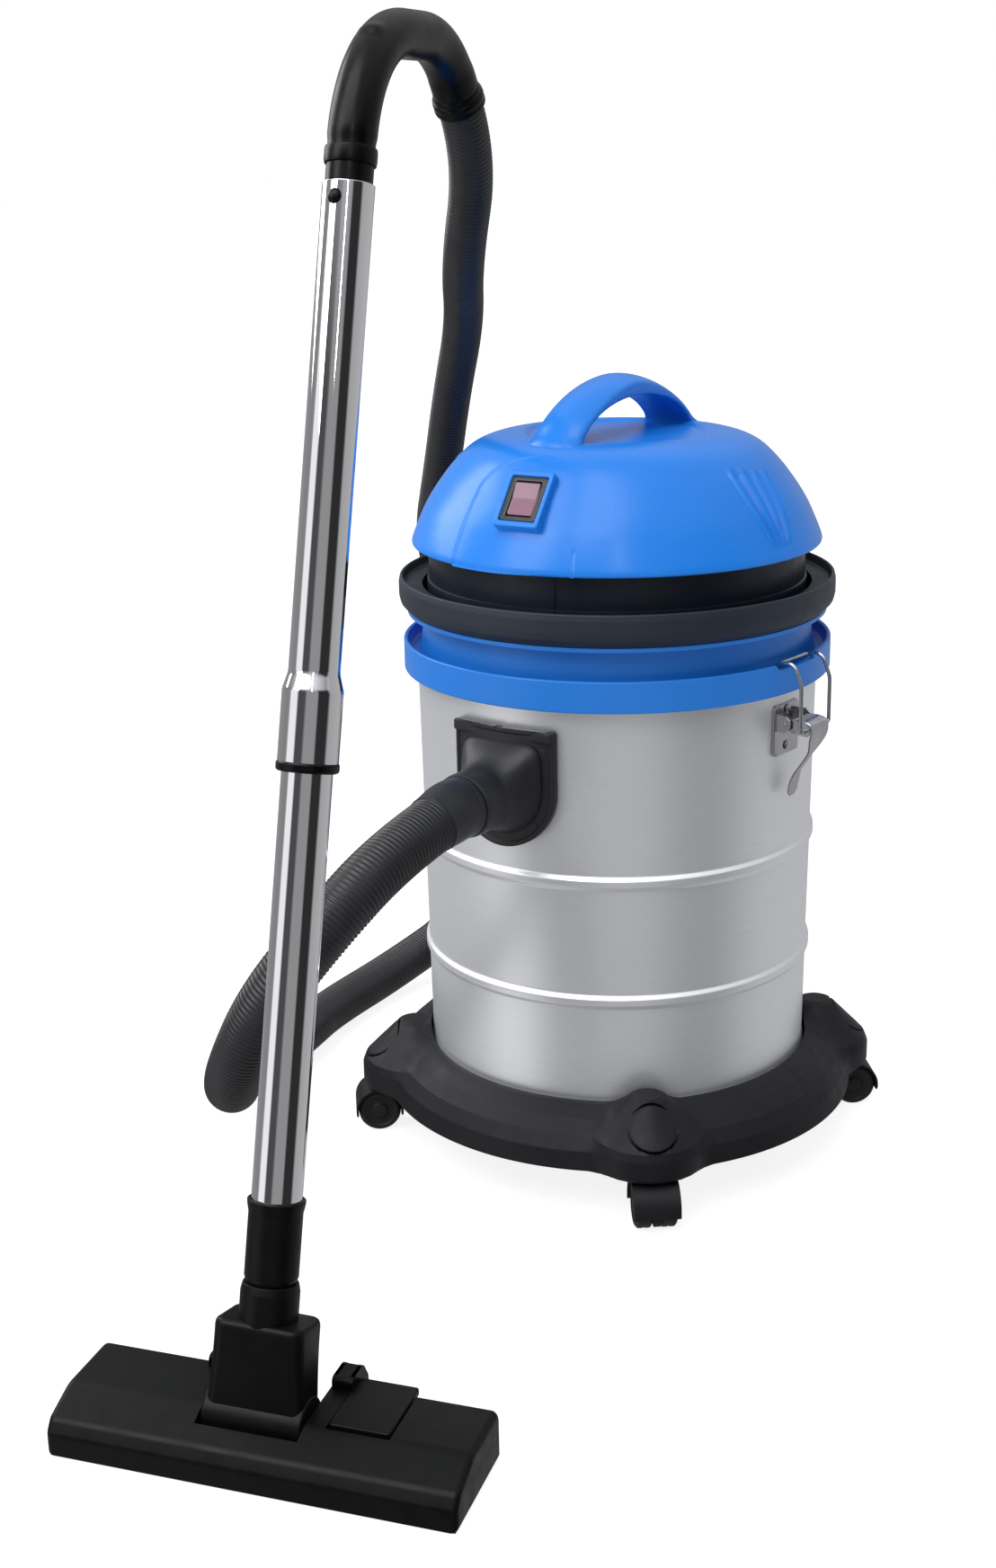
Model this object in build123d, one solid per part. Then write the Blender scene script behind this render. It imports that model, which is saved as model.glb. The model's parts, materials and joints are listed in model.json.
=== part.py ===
"""Wet and dry vacuum cleaner: steel drum on a caster dolly, lift-off motor head, hose, wand and nozzle.

Millimetres, +Z up, floor at Z = 0. Pieces are drawn round the drum's own axis and moved to their
place when they are written, so that the origin is the middle of the whole footprint.
An azimuth is an angle about the drum's axis, from the front (-Y) towards +X.
"""
from build123d import *
import os
from math import atan2, cos, degrees, radians, sin, tan

# Where the drum's axis stands, from the middle of the footprint
TANK_X = 75.7
TANK_Y = 193.2

# Drum
DRUM_TOP = 433.0
DRUM_FOOT = 68.0
DRUM_TOP_R = 171.5
DRUM_TAPER = 0.0135
STEEL = 1.0
BEAD_HEIGHTS = (281.0, 177.0)
BEAD_R = 3.0

# Dolly and casters
DOLLY_LOW = 45.0
DOLLY_TOP = 86.0
DOLLY_R = 209.0
LOBE_R = 48.0
LOBE_AT = 183.0
LOBE_TOP = 100.0
FIRST_LOBE_AZIMUTH = 8.0
CASTER_AT = 207.0
CASTER_TRAIL = 12.0
WHEEL_R = 19.0
WHEEL_W = 14.0
STEM_R = 4.0
AXLE_R = 2.0
CAP_R = 20.0

# Inlet and hose
INLET_AZIMUTH = -31.8
INLET_Z = 356.0
FLANGE_HALF = 48.0
FLANGE_TOP = 409.0
STUB_R = 26.0
STUB_END = 232.0
CUFF_BEND = 246.4
CUFF_DIP = 10.0
HOSE_R = 19.0
HOSE_BORE = 15.0

# Head
RIM_R = 183.0
RIM_LOW = 427.0
RIM_TOP = 453.0
GUTTER_FLOOR = 441.0
NECK_R = 160.0
NECK_TOP = 548.0
SCREW_CIRCLE = 152.0
DOME_LIP = 533.0
DOME_TOP = 626.0
DOME_WALL = 3.0
HANDLE_TURN = 56.3
HANDLE_OUTSIDE = (105.0, 90.0, 580.0)
HANDLE_INSIDE = (87.1, 49.3, 605.5)
HANDLE_HALF_WIDTH = 23.0
SWITCH_AZIMUTH = -28.4
SWITCH_R = 147.5
SWITCH_Z = 586.0
SWITCH_TILT = 38.0

# Latches
LATCH_AZIMUTHS = {"right": 54.0, "left": -126.0}
LEVER_PIVOT = (181.0, 401.0)
BAIL_PIVOT = (199.0, 398.0)
WIRE_R = 1.6
BAIL_HALF = 22.0
SEAT_TOP = 448.0
HOOK_R = 199.0

# Wand: the top of the upper tube and the direction of its axis, from the floor end
TUBE_TOP = (-174.7, -348.3, 832.9)
WAND_DIRECTION = (0.0821, 0.2311, 0.9695)
TUBE_R = 17.5
TUBE_WALL = 1.0
SOCKET_FROM = 325.0
SOCKET_TO = 381.0
SOCKET_R = 20.8
RING_TO = 387.0
SLEEVE_FROM = 678.0
LOWER_TUBE_END = 718.0
COLLAR_FROM = 735.0
COLLAR_TO = 761.0
TILT_AXIS_DOWN = 830.2
HANDLE_PLANE = (0.28, 0.96, 0.0)

# Floor nozzle: the middle of its front edge, its turn about Z, and its sizes
NOZZLE_FRONT = (-247.5, -587.4)
NOZZLE_TURN = -15.35
NOZZLE_HALF = 150.0
NOZZLE_DEPTH = 90.0
NOZZLE_HEIGHT = 38.0
ELBOW_X = -8.0
TILT_AXIS_Y = 46.8
TILT_AXIS_Z = 28.0
BARREL_R = 17.0
PEDAL_X = (46.0, 90.0)
ROLLER_R = 14.0
ROLLER_X = (-54.5, 39.0)

os.makedirs("parts", exist_ok=True)


def put(node, *shapes):
    """Writes one node: its solids, moved from the drum's axis to their place."""
    place = Pos(TANK_X, TANK_Y, 0)
    solids = [solid for shape in shapes for solid in (place * shape).solids()]
    whole = solids[0] if len(solids) == 1 else Compound(children=solids)
    export_step(whole, f"parts/{node}.step")


def outline(*points):
    """A closed flat face in the XZ plane from (x, z) corners."""
    return make_face(Polyline(*[(x, 0, z) for x, z in points], close=True))


def turned(*points):
    """A solid of revolution about Z from (radius, height) corners."""
    return revolve(outline(*points), Axis.Z)


def ring(outer, inner, low, high):
    return turned((inner, low), (outer, low), (outer, high), (inner, high))


def disc(radius, low, high):
    return Pos(0, 0, (low + high) / 2) * Cylinder(radius, high - low)


def facing(azimuth):
    """Turns a piece drawn at the front (-Y) to an azimuth."""
    return Rot(0, 0, azimuth)


def radial_rod(radius, near, far, height=0.0, across=0.0):
    """A round bar that points away from the drum's axis, drawn at the front."""
    bar = Rot(90, 0, 0) * Cylinder(radius, far - near)
    return Pos(across, -(near + far) / 2, height) * bar


def box(x, y, z):
    """A box from its low and high bounds on each axis."""
    middle = [(low + high) / 2 for low, high in (x, y, z)]
    return Pos(*middle) * Box(x[1] - x[0], y[1] - y[0], z[1] - z[0])


def wall_r(height):
    """The drum's outer radius at a height: it narrows towards its foot."""
    return DRUM_TOP_R - DRUM_TAPER * (DRUM_TOP - height)


# ---------------------------------------------------------------- drum
def beads(inset):
    """The wall's outline from foot to top, with its rolled beads."""
    points = []
    for height in sorted(BEAD_HEIGHTS):
        radius = wall_r(height) - inset
        points += [(radius, height - 5), (radius + BEAD_R, height - 1.5)]
        points += [(radius + BEAD_R, height + 1.5), (radius, height + 5)]
    return points


def make_drum():
    foot, top = wall_r(DRUM_FOOT + 10), wall_r(DRUM_TOP - 4)
    outer = [(0, DRUM_FOOT), (foot - 8, DRUM_FOOT), (foot, DRUM_FOOT + 8)]
    outer += beads(0) + [(top, DRUM_TOP - 4), (top + 3, DRUM_TOP - 3), (top + 3, DRUM_TOP)]
    inner = [(top - STEEL, DRUM_TOP)] + beads(STEEL)[::-1]
    inner += [(foot - STEEL, DRUM_FOOT + 8.4), (foot - 8.4, DRUM_FOOT + STEEL), (0, DRUM_FOOT + STEEL)]
    hole = facing(INLET_AZIMUTH) * radial_rod(STUB_R + 0.6, 140, 200, INLET_Z)
    return turned(*outer, *inner) - hole


# ---------------------------------------------------------------- dolly
def lobe_angles():
    return [FIRST_LOBE_AZIMUTH + 90 * k for k in range(4)]


def lobe_blank():
    """A lobe at the front: a round pod that leans on the drum."""
    pod = Pos(0, -LOBE_AT, (42 + 62) / 2) * Cylinder(LOBE_R, 20)
    low = Pos(0, -LOBE_AT, 62) * Circle(LOBE_R)
    high = Pos(0, -LOBE_AT - 1, LOBE_TOP) * Circle(14)
    pod += loft([low, high])
    return pod - disc(169.8, 0, 200)


def cap_rod(radius, near, far):
    """A round bar through a lobe's shoulder, square to its slope."""
    bar = Pos(0, 0, (near + far) / 2) * Cylinder(radius, far - near)
    return Pos(0, -212, 83) * Rot(49, 0, 0) * bar


def make_dolly():
    body = turned((100, 62), (190, 62), (201, 57), (DOLLY_R - 4, DOLLY_LOW), (DOLLY_R, DOLLY_LOW),
                  (205, 58), (196, 70), (184, 81), (176, DOLLY_TOP), (169.8, DOLLY_TOP), (169.8, 67.5),
                  (100, 67.5))
    socket = Pos(0, -CASTER_AT, (40 + 72) / 2) * Cylinder(STEM_R + 0.05, 32)
    for angle in lobe_angles():
        body += facing(angle) * lobe_blank()
    for angle in lobe_angles():
        body -= facing(angle) * (cap_rod(CAP_R + 0.5, -6.2, 12) + socket)
        body -= facing(angle + 45) * (Pos(0, -150, 60) * Cylinder(2.2, 30))
    return body


def make_caps():
    cap = lobe_blank() & cap_rod(CAP_R, -6, 11)
    return [facing(angle) * cap for angle in lobe_angles()]


def make_dolly_screws():
    """One pan-head screw up through the dolly's floor between two lobes."""
    screw = Pos(0, -150, 64.2) * Cylinder(2.1, 7) + Pos(0, -150, 60.5) * Cylinder(4.2, 3)
    return [facing(angle + 45) * screw for angle in lobe_angles()]


def make_caster_hood():
    """Hood, web and stem of a twin-wheel caster, drawn at the front, trailing outwards."""
    wheel_y = -CASTER_AT - CASTER_TRAIL
    shell = Pos(0, wheel_y, WHEEL_R) * Rot(0, 90, 0) * Cylinder(WHEEL_R + 2.4, 2 * WHEEL_W + 11)
    shell -= Pos(0, wheel_y, WHEEL_R) * Rot(0, 90, 0) * Cylinder(WHEEL_R + 0.6, 2 * WHEEL_W + 20)
    shell -= box((-40, 40), (wheel_y - 40, wheel_y + 40), (-5, WHEEL_R - 4))
    web = Pos(0, wheel_y, WHEEL_R) * Rot(0, 90, 0) * Cylinder(WHEEL_R + 1.0, 6)
    web -= box((-40, 40), (wheel_y - 40, wheel_y + 40), (-5, 6))
    web -= Pos(0, wheel_y, WHEEL_R) * Rot(0, 90, 0) * Cylinder(AXLE_R + 0.06, 10)
    plate = Pos(0, -CASTER_AT, 40.3) * Cylinder(9, 2.2)
    neck = box((-9, 9), (wheel_y, -CASTER_AT + 4), (38.4, 40.6))
    stem = Pos(0, -CASTER_AT, (40 + 70) / 2) * Cylinder(STEM_R, 30)
    return shell + web + plate + neck + stem


def make_caster_axle():
    wheel_y = -CASTER_AT - CASTER_TRAIL
    return Pos(0, wheel_y, WHEEL_R) * Rot(0, 90, 0) * Cylinder(AXLE_R, 2 * WHEEL_W + 8)


def make_caster_wheels():
    """Two wheels, one each side of the web, with domed outer faces."""
    wheel_y = -CASTER_AT - CASTER_TRAIL
    inner, outer = 3.6, 3.6 + WHEEL_W
    profile = outline((inner, AXLE_R), (inner, WHEEL_R - 1), (inner + 1, WHEEL_R), (outer - 2, WHEEL_R),
                      (outer, WHEEL_R - 3), (outer, 6), (outer - 3, 5), (outer - 3, AXLE_R))
    wheel = revolve(profile, Axis.X)
    return [Pos(0, wheel_y, WHEEL_R) * side * wheel for side in (Rot(0, 0, 0), Rot(0, 0, 180))]


# ---------------------------------------------------------------- inlet and hose
def flange_plan(half, top):
    """A D lying on its back: square at the top and round at the bottom, as a face in XZ."""
    round_end = Pos(0, 0, INLET_Z) * Rot(90, 0, 0) * Circle(half)
    square = Pos(0, 0, (INLET_Z + top) / 2) * Rot(90, 0, 0) * Rectangle(2 * half, top - INLET_Z)
    return round_end + square


def make_inlet_flange():
    slab = Pos(0, -150, 0) * extrude(flange_plan(FLANGE_HALF, FLANGE_TOP), 40)
    plate = slab & ring(178, 173.2, 290, 430)
    ledge = box((-FLANGE_HALF, FLANGE_HALF), (-186, -160), (FLANGE_TOP - 9, FLANGE_TOP))
    plate += ledge & ring(184, 173.2, 290, 430)
    boss = radial_rod(34, 174, 198, INLET_Z) + box((-34, 34), (-188, -174), (INLET_Z, 397))
    boss -= disc(173.2, 300, 420)
    pipe = radial_rod(STUB_R, 152, STUB_END, INLET_Z)
    body = plate + boss + pipe - radial_rod(22.6, 140, STUB_END + 1, INLET_Z)
    screws = [Pos(x, 0, z) for x, z in ((-38, 391), (38, 391), (-30, 329), (30, 329))]
    for spot in screws:
        body -= spot * radial_rod(1.9, 150, 200)
    return facing(INLET_AZIMUTH) * body


def make_inlet_gasket():
    slab = Pos(0, -150, 0) * extrude(flange_plan(FLANGE_HALF - 2, FLANGE_TOP - 2), 40)
    pad = slab & ring(173.1, 171.3, 290, 430)
    pad -= radial_rod(STUB_R + 0.6, 140, 200, INLET_Z)
    for x, z in ((-38, 391), (38, 391), (-30, 329), (30, 329)):
        pad -= Pos(x, 0, z) * radial_rod(1.9, 150, 200)
    return facing(INLET_AZIMUTH) * pad


def make_inlet_screws():
    """Heads on the flange's face; the shanks stop short of the drum's wall."""
    spots = ((-38, 391), (38, 391), (-30, 329), (30, 329))
    screws = []
    for x, z in spots:
        face = (178.0 ** 2 - x ** 2) ** 0.5
        screw = radial_rod(1.8, face - 2.6, face + 1.2) + radial_rod(4, face + 1, face + 3)
        screws.append(facing(INLET_AZIMUTH) * Pos(x, 0, z) * screw)
    return screws


def make_inlet_cuff():
    """Soft cuff pushed into the stub; past the stub it droops under the hose."""
    dip = radians(CUFF_DIP)
    bend = (0, -CUFF_BEND, INLET_Z)
    droop = Plane(origin=bend, z_dir=(0, -cos(dip), -sin(dip))).location
    body = radial_rod(22.5, 205, STUB_END, INLET_Z) + radial_rod(25, STUB_END, CUFF_BEND, INLET_Z)
    body += Pos(*bend) * Sphere(25) + droop * turned((0, 0), (25, 0), (25, 10), (21.5, 26), (0, 26))
    bore = radial_rod(HOSE_BORE, 200, CUFF_BEND, INLET_Z) + Pos(*bend) * Sphere(HOSE_BORE)
    return facing(INLET_AZIMUTH) * (body - bore - droop * disc(HOSE_BORE, 0, 27))


# Route of the hose, from the inlet cuff to the cuff on the bent handle, about the drum's axis
HOSE_ROUTE = [
    (-143.3, -231.2, 351.5), (-173.2, -279.4, 341.5), (-216, -324, 303), (-263, -335, 246),
    (-293, -310, 181), (-309, -250, 134), (-322, -145, 108), (-352, -52, 46), (-335, 42, 23),
    (-306, 107, 28), (-290, 175, 23), (-235, 281, 23), (-163, 365, 50), (-140, 418, 144),
    (-161, 421, 245), (-157, 376, 335), (-163, 312, 409), (-180, 250, 486), (-163, 199, 567),
    (-148, 143, 642), (-130, 72, 710), (-123, -48, 765), (-105.8, -112.2, 845.5),
    (-114.8, -142.9, 884.1)]


def make_hose():
    points = [Vector(*point) for point in HOSE_ROUTE]
    runs = [b - a for a, b in zip(points, points[1:])]
    radii = []
    for before, after in zip(runs, runs[1:]):
        half = radians(before.get_angle(after)) / 2
        radii.append(0.45 * min(before.length, after.length) / tan(half))
    print("hose arc radii", [round(radius) for radius in radii])
    path = FilletPolyline(*points, radius=radii)
    section = Plane(origin=points[0], z_dir=runs[0]) * (Circle(HOSE_R) - Circle(HOSE_BORE))
    tube = sweep(section, path=path)
    print("hose length", round(path.length), "volume ratio",
          round(tube.volume / (section.area * path.length), 4))
    return tube


# ---------------------------------------------------------------- wand
def wand(shape):
    """Places a piece drawn down the -Z axis from the top of the upper tube."""
    return Plane(origin=TUBE_TOP, x_dir=(0.9645, -0.2645, 0), z_dir=WAND_DIRECTION).location * shape


def make_upper_tube():
    inner = TUBE_R - TUBE_WALL
    step = SOCKET_FROM + 9
    body = turned((inner, 0), (TUBE_R, 0), (TUBE_R, -SOCKET_FROM), (SOCKET_R, -step),
                  (SOCKET_R, -SOCKET_TO), (17.65, -SOCKET_TO), (17.65, -step), (inner, -step))
    return wand(body) - spring_button(3.5, 12)


def make_socket_ring():
    return wand(ring(SOCKET_R + 0.8, 17.65, -RING_TO, -SOCKET_TO))


def make_lower_tube():
    return wand(ring(TUBE_R, TUBE_R - TUBE_WALL, -LOWER_TUBE_END, -SOCKET_FROM - 10))


def make_nozzle_neck():
    """Sleeve that grips the lower tube, with a tail that turns in the collar."""
    body = turned((17.55, -SLEEVE_FROM), (20, -SLEEVE_FROM), (20, -SLEEVE_FROM - 3),
                  (18.9, -SLEEVE_FROM - 9), (18.9, -COLLAR_FROM), (16.4, -COLLAR_FROM),
                  (16.4, -COLLAR_TO - 4), (14, -COLLAR_TO - 4), (14, -LOWER_TUBE_END - 0.2),
                  (17.55, -LOWER_TUBE_END - 0.2))
    return wand(body)


def handle_mouth():
    """Where the bent handle ends, and the direction in which the hose leaves it."""
    reach, up = Vector(*HANDLE_PLANE), Vector(0, 0, 1)
    mouth = Vector(*TUBE_TOP) + reach * 205 + up * 62
    return mouth, (reach * 29 - up * 35).normalized()


def make_bent_handle():
    """Rigid elbowed pipe: its tail sits in the upper tube and its mouth takes the hose cuff."""
    top, rise = Vector(*TUBE_TOP), Vector(*WAND_DIRECTION)
    reach, up = Vector(*HANDLE_PLANE), Vector(0, 0, 1)
    mouth, down = handle_mouth()
    start = top + rise * 0.2
    path = FilletPolyline(start, top + rise * 100, top + reach * 176 + up * 97, mouth, radius=[95, 84])
    outer = sweep(Plane(origin=start, z_dir=rise) * Circle(16.8), path=path)
    bore = sweep(Plane(origin=start, z_dir=rise) * Circle(13.4), path=path)
    tail = wand(ring(16.45, 13.4, -48, 1))
    vent = wand(Pos(0, -16, 18) * Rot(90, 0, 0) * Cylinder(3.5, 12))
    socket = spring_button(3.5, 12)
    return outer - bore + tail - vent - socket


def make_handle_cuff():
    """Straight cuff that joins the hose to the bent handle's mouth."""
    mouth, down = handle_mouth()
    place = Plane(origin=mouth, z_dir=down).location
    return place * turned((13.4, 0), (17.6, 0), (19.4, 4), (19.4, 14), (13.4, 14))


def make_air_slide():
    """C-shaped collar that slides over the air hole in the bent handle."""
    band = ring(18.6, 16.9, 12, 24) - box((-8, 8), (5, 30), (0, 40))
    band += box((-5, 5), (-20.2, -17.6), (14, 22))
    return wand(band)


def spring_button(radius, length):
    """A short round bar through the tube's wall, square to it, on the side that faces the front."""
    return wand(Pos(-2.4, -TUBE_R, -11) * Rot(90, 0, 0) * Cylinder(radius, length))


# ---------------------------------------------------------------- head
def dome_outline():
    """Radius and height points up the outside of the dome, from the lip to the crown."""
    return [(173.6, 536.5), (172.2, 541), (167, 553.5), (160, 568), (150, 583.5), (137, 600),
            (122, 614), (105, 621.5), (82, 625), (45, 626), (0, DOME_TOP)]


def dome_solid(inset):
    """The dome's outer form, or the same form drawn in by a wall's thickness."""
    points = dome_outline()
    base = points[0][0] - inset
    curve = Spline(*[(max(r - inset * 0.85, 0) if r else 0, 0, z - inset * (1 - r / 200))
                     for r, z in points])
    low = DOME_LIP - (1 if inset else 0)
    start, end = curve @ 0, curve @ 1
    edges = [curve, Line(end, (0, 0, low)), Line((0, 0, low), (base - 1.2 * (not inset), 0, low)),
             Line((base - 1.2 * (not inset), 0, low), start)]
    return revolve(make_face(Wire(edges)), Axis.Z)


def make_dome():
    shell = dome_solid(0) - dome_solid(DOME_WALL)
    ledge = ring(NECK_R + 6, NECK_R - 13, NECK_TOP, NECK_TOP + 3)
    shell += ledge
    switch_hole = Box(33.0, 12, 40.0)
    shell -= switch_place() * switch_hole
    cord_hole = facing(150) * radial_rod(7.6, 120, 190, 562)
    for k in range(4):
        shell -= facing(45 + 90 * k) * (Pos(0, -SCREW_CIRCLE, NECK_TOP) * Cylinder(1.8, 12))
    return shell - cord_hole


def make_carry_handle():
    """A broad band that arches over the crown from the front left to the rear right."""
    span, rise, low = HANDLE_OUTSIDE
    outer = Pos(0, 0, low) * Rot(90, 0, 0) * Ellipse(span, rise)
    outer = chamfer(extrude(outer, HANDLE_HALF_WIDTH, both=True).edges(), length=4, length2=9)
    span, rise, low = HANDLE_INSIDE
    inner = Pos(0, 0, low) * Rot(90, 0, 0) * Ellipse(span, rise)
    body = outer - extrude(inner, HANDLE_HALF_WIDTH + 1, both=True)
    body = Rot(0, 0, HANDLE_TURN) * body - dome_solid(0)
    return [solid for solid in body.solids() if solid.center().Z > 620]


def switch_place():
    """The switch's flat place on the dome: X across, Y into the dome, Z up the slope."""
    return (facing(SWITCH_AZIMUTH) * Pos(0, -SWITCH_R, SWITCH_Z) * Rot(-SWITCH_TILT, 0, 0))


def make_switch_bezel():
    body = Pos(0, 1, -1) * Box(41, 14, 50) - Box(33.0, 40, 40.0)
    return switch_place() * body - dome_solid(0)


def make_switch_frame():
    body = box((-16.2, 16.2), (-5, 15), (-19.7, 19.7)) - box((-11.5, 11.5), (-12, 5.2), (-15.5, 15.5))
    return switch_place() * body


def make_rocker():
    """Rocker of the switch: a shallow V on a barrel, pressed in at its lower half."""
    profile = make_face(Polyline((0, -2.2, 14.2), (0, -5.6, 14.2), (0, -3.6, 0), (0, -3.9, -14.2),
                                 (0, 0.4, -14.2), (0, 0.4, 14.2), close=True))
    rocker = Pos(0, -1.2, 0) * extrude(profile, 11, both=True, dir=(1, 0, 0))
    return switch_place() * (rocker + Pos(0, -2, 0) * Rot(0, 90, 0) * Cylinder(1, 22))


def make_cord_gland():
    flange = radial_rod(11, 158, 171, 562) - dome_solid(0)
    body = radial_rod(7.5, 152, 168, 562) + flange + radial_rod(6, 168, 186, 562)
    return facing(150) * (body - radial_rod(3.8, 140, 190, 562))


def make_neck():
    """Wall that carries the dome, with a ring of exhaust slots and inner flanges."""
    body = ring(NECK_R, NECK_R - 3, 479.2, NECK_TOP)
    body += ring(NECK_R, NECK_R - 13, NECK_TOP - 3, NECK_TOP) + ring(NECK_R, NECK_R - 9, 479.2, 482.2)
    for k in range(12):
        body -= facing(30 * k) * box((-14, 14), (-NECK_R - 5, -NECK_R + 6), (533, 538))
    for k in range(4):
        body -= facing(45 + 90 * k) * (Pos(0, -SCREW_CIRCLE, NECK_TOP) * Cylinder(1.8, 12))
    return body


def make_bumper():
    return turned((166, 479.2), (179, 479.2), (184.6, 485), (186, 490), (186, 502), (184.6, 506.6),
                  (182.4, 507), (181.4, 499), (166, 499))


def make_rim():
    """Blue rim: outer band, gutter, inner wall and floor, dipped where the latch wires sit."""
    body = turned((58, 441), (167, 441), (167, 427), (170, 427), (170, GUTTER_FLOOR - 5),
                  (179, GUTTER_FLOOR - 5), (179, RIM_LOW), (RIM_R, RIM_LOW), (RIM_R, RIM_TOP - 2),
                  (RIM_R - 1.5, RIM_TOP), (RIM_R - 3.5, RIM_TOP), (RIM_R - 4.5, GUTTER_FLOOR),
                  (168, GUTTER_FLOOR), (165, 475), (179, 475.5), (179, 479), (150, 479), (150, 475),
                  (161.5, 472), (164, 445), (58, 445))
    for azimuth in LATCH_AZIMUTHS.values():
        seat = box((-BAIL_HALF - 5, BAIL_HALF + 5), (-200, -170.5), (SEAT_TOP, 470))
        body -= facing(azimuth) * seat
    return body


def make_rim_gasket():
    return ring(178.4, 170.6, DRUM_TOP + 0.2, GUTTER_FLOOR - 5)


def make_motor_plate():
    return ring(149.6, 54.6, 475, 478.6) + ring(62, 58.2, 445, 475)


def make_motor():
    """Two-part can: the fan shell below and the motor above, open at the intake."""
    return turned((20, 447), (54, 447), (54, 478.7), (70, 478.7), (70, 506), (50, 510), (50, 590), (38, 600),
                  (4.05, 600), (4.05, 597), (36, 597), (47, 588), (47, 508), (67, 503.5), (67, 481.7),
                  (51, 481.7), (51, 450), (20, 450))


def make_rotor():
    """Shaft, armature and commutator, with the impeller's hub, plates and blades."""
    body = disc(4, 476, 604) + disc(24, 520, 575) + disc(14, 578, 592)
    body += ring(60, 3, 485, 486.5) + ring(60, 22, 497, 498.5) + ring(9, 3, 486.5, 503)
    for k in range(8):
        body += Rot(0, 0, 45 * k) * box((-0.8, 0.8), (-59, -8), (486.2, 497.2))
    return body


def make_float_cage():
    """Slotted basket under the head's floor that keeps the float below the intake."""
    body = ring(64, 61.5, 365, 441) + disc(64, 362.5, 365) + ring(72, 61.5, 438, 440.9)
    for k in range(8):
        body -= Rot(0, 0, 45 * k + 22.5) * box((-13, 13), (-70, -50), (372, 430))
    return body


def make_float():
    return disc(50, 366, 374) + ring(50, 46.5, 374, 396)


def make_filter():
    """Cloth sleeve over the cage, with a thicker hem at its foot."""
    return ring(78, 64.6, 367, 436) + ring(80.5, 64.4, 361.5, 367.8)


def make_head_screws():
    """Pan-head screws up through the neck's top flange into the dome's ledge."""
    screw = Pos(0, 0, 547.3) * Cylinder(1.7, 6.6) + Pos(0, 0, 543.4) * Cylinder(3.3, 2.8)
    return [facing(45 + 90 * k) * Pos(0, -SCREW_CIRCLE, 0) * screw for k in range(4)]


# ---------------------------------------------------------------- latches
def across_rod(radius, point, half, middle=0.0):
    """A bar across the front, through a (radius, height) point."""
    return Pos(middle, -point[0], point[1]) * Rot(0, 90, 0) * Cylinder(radius, 2 * half)


def across_plate(corners, half, middle):
    """A plate across the front: its outline in (radius, height) corners, its half width and its middle."""
    face = make_face(Polyline(*[(middle, -r, z) for r, z in corners], close=True))
    return extrude(face, half, both=True, dir=(1, 0, 0))


def make_latch_bracket():
    """Pressed plate on the drum's wall with two ears for the lever's pin."""
    plate = box((-19, 19), (-176, -160), (372, 415)) & ring(173.4, 171.5, 360, 430)
    ears = [box((side - 1, side + 1), (-186, -172.2), (394, 408)) for side in (-16, 16)]
    body = plate + ears[0] + ears[1]
    body -= across_rod(1.75, LEVER_PIVOT, 30)
    for z in (379, 410):
        body -= Pos(0, 0, z) * radial_rod(2.1, 160, 190)
    return body


def make_latch_rivets():
    rivets = []
    for azimuth in LATCH_AZIMUTHS.values():
        for z in (379, 410):
            rivet = radial_rod(2, 171.6, 174) + radial_rod(4, 173.5, 175)
            rivets.append(facing(azimuth) * Pos(0, 0, z) * rivet)
    return rivets


def make_latch_pins():
    return [facing(azimuth) * across_rod(1.7, LEVER_PIVOT, 17.4) for azimuth in LATCH_AZIMUTHS.values()]


def make_latch_lever():
    """Spoon-shaped lever: cheeks round both pivots and a plate that follows the drum downwards."""
    skin = [(189, 405.5), (203, 404.5), (204.4, 394), (198, 376), (187, 361), (181.5, 350), (179.5, 338),
            (177.5, 338), (179, 351), (184.5, 363), (195, 378), (199, 393), (199.5, 402.6), (189, 403.5)]
    plate = across_plate(skin, 14, 0)
    cheek = [(177.5, 404.6), (177.5, 397.6), (186, 394), (202, 392.6), (203.4, 403.8), (189, 405)]
    cheeks = [across_plate(cheek, 0.9, side) for side in (-13.1, 13.1)]
    body = plate + cheeks[0] + cheeks[1]
    body -= across_rod(1.75, LEVER_PIVOT, 30)
    body -= across_rod(WIRE_R + 0.06, BAIL_PIVOT, 30)
    return body


def make_latch_bail():
    """Wire loop: ends hooked through the lever, two legs, and a cross wire in the rim's seat."""
    half_loop = [(11.7, BAIL_PIVOT), (BAIL_HALF, BAIL_PIVOT), (BAIL_HALF, (HOOK_R, 436)),
                 (BAIL_HALF, (191, 455.5)), (BAIL_HALF, (176.3, SEAT_TOP + 2.6 + WIRE_R))]
    points = [(x, -r, z) for x, (r, z) in half_loop] + [(-x, -r, z) for x, (r, z) in half_loop[::-1]]
    path = FilletPolyline(*points, radius=3)
    return sweep(Plane(origin=points[0], z_dir=(1, 0, 0)) * Circle(WIRE_R), path=path)


# ---------------------------------------------------------------- floor nozzle
def nozzle(shape):
    """Places a piece drawn with the nozzle's front edge along X and its depth along +Y."""
    return Pos(NOZZLE_FRONT[0], NOZZLE_FRONT[1], 0) * Rot(0, 0, NOZZLE_TURN) * shape


def make_nozzle_elbow():
    """Swivel collar and the block under it, with the tilt barrel across its foot and the air way."""
    top, foot = -COLLAR_TO, -TILT_AXIS_DOWN
    collar = ring(20.5, 16.46, top - 6, -COLLAR_FROM - 0.3)
    block = loft([Pos(0, 0, top) * RectangleRounded(66, 42, 8),
                  Pos(0, 0, foot) * RectangleRounded(74, 33, 8)])
    barrel = Rot(0, 90, 0) * Cylinder(BARREL_R, 74) + Rot(0, 90, 0) * Cylinder(4, 84)
    body = wand(block - disc(16.46, top - 6, top + 1) + collar)
    body += nozzle(Pos(ELBOW_X, TILT_AXIS_Y, TILT_AXIS_Z) * barrel)
    return body - wand(disc(13, foot - 30, top))


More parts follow.
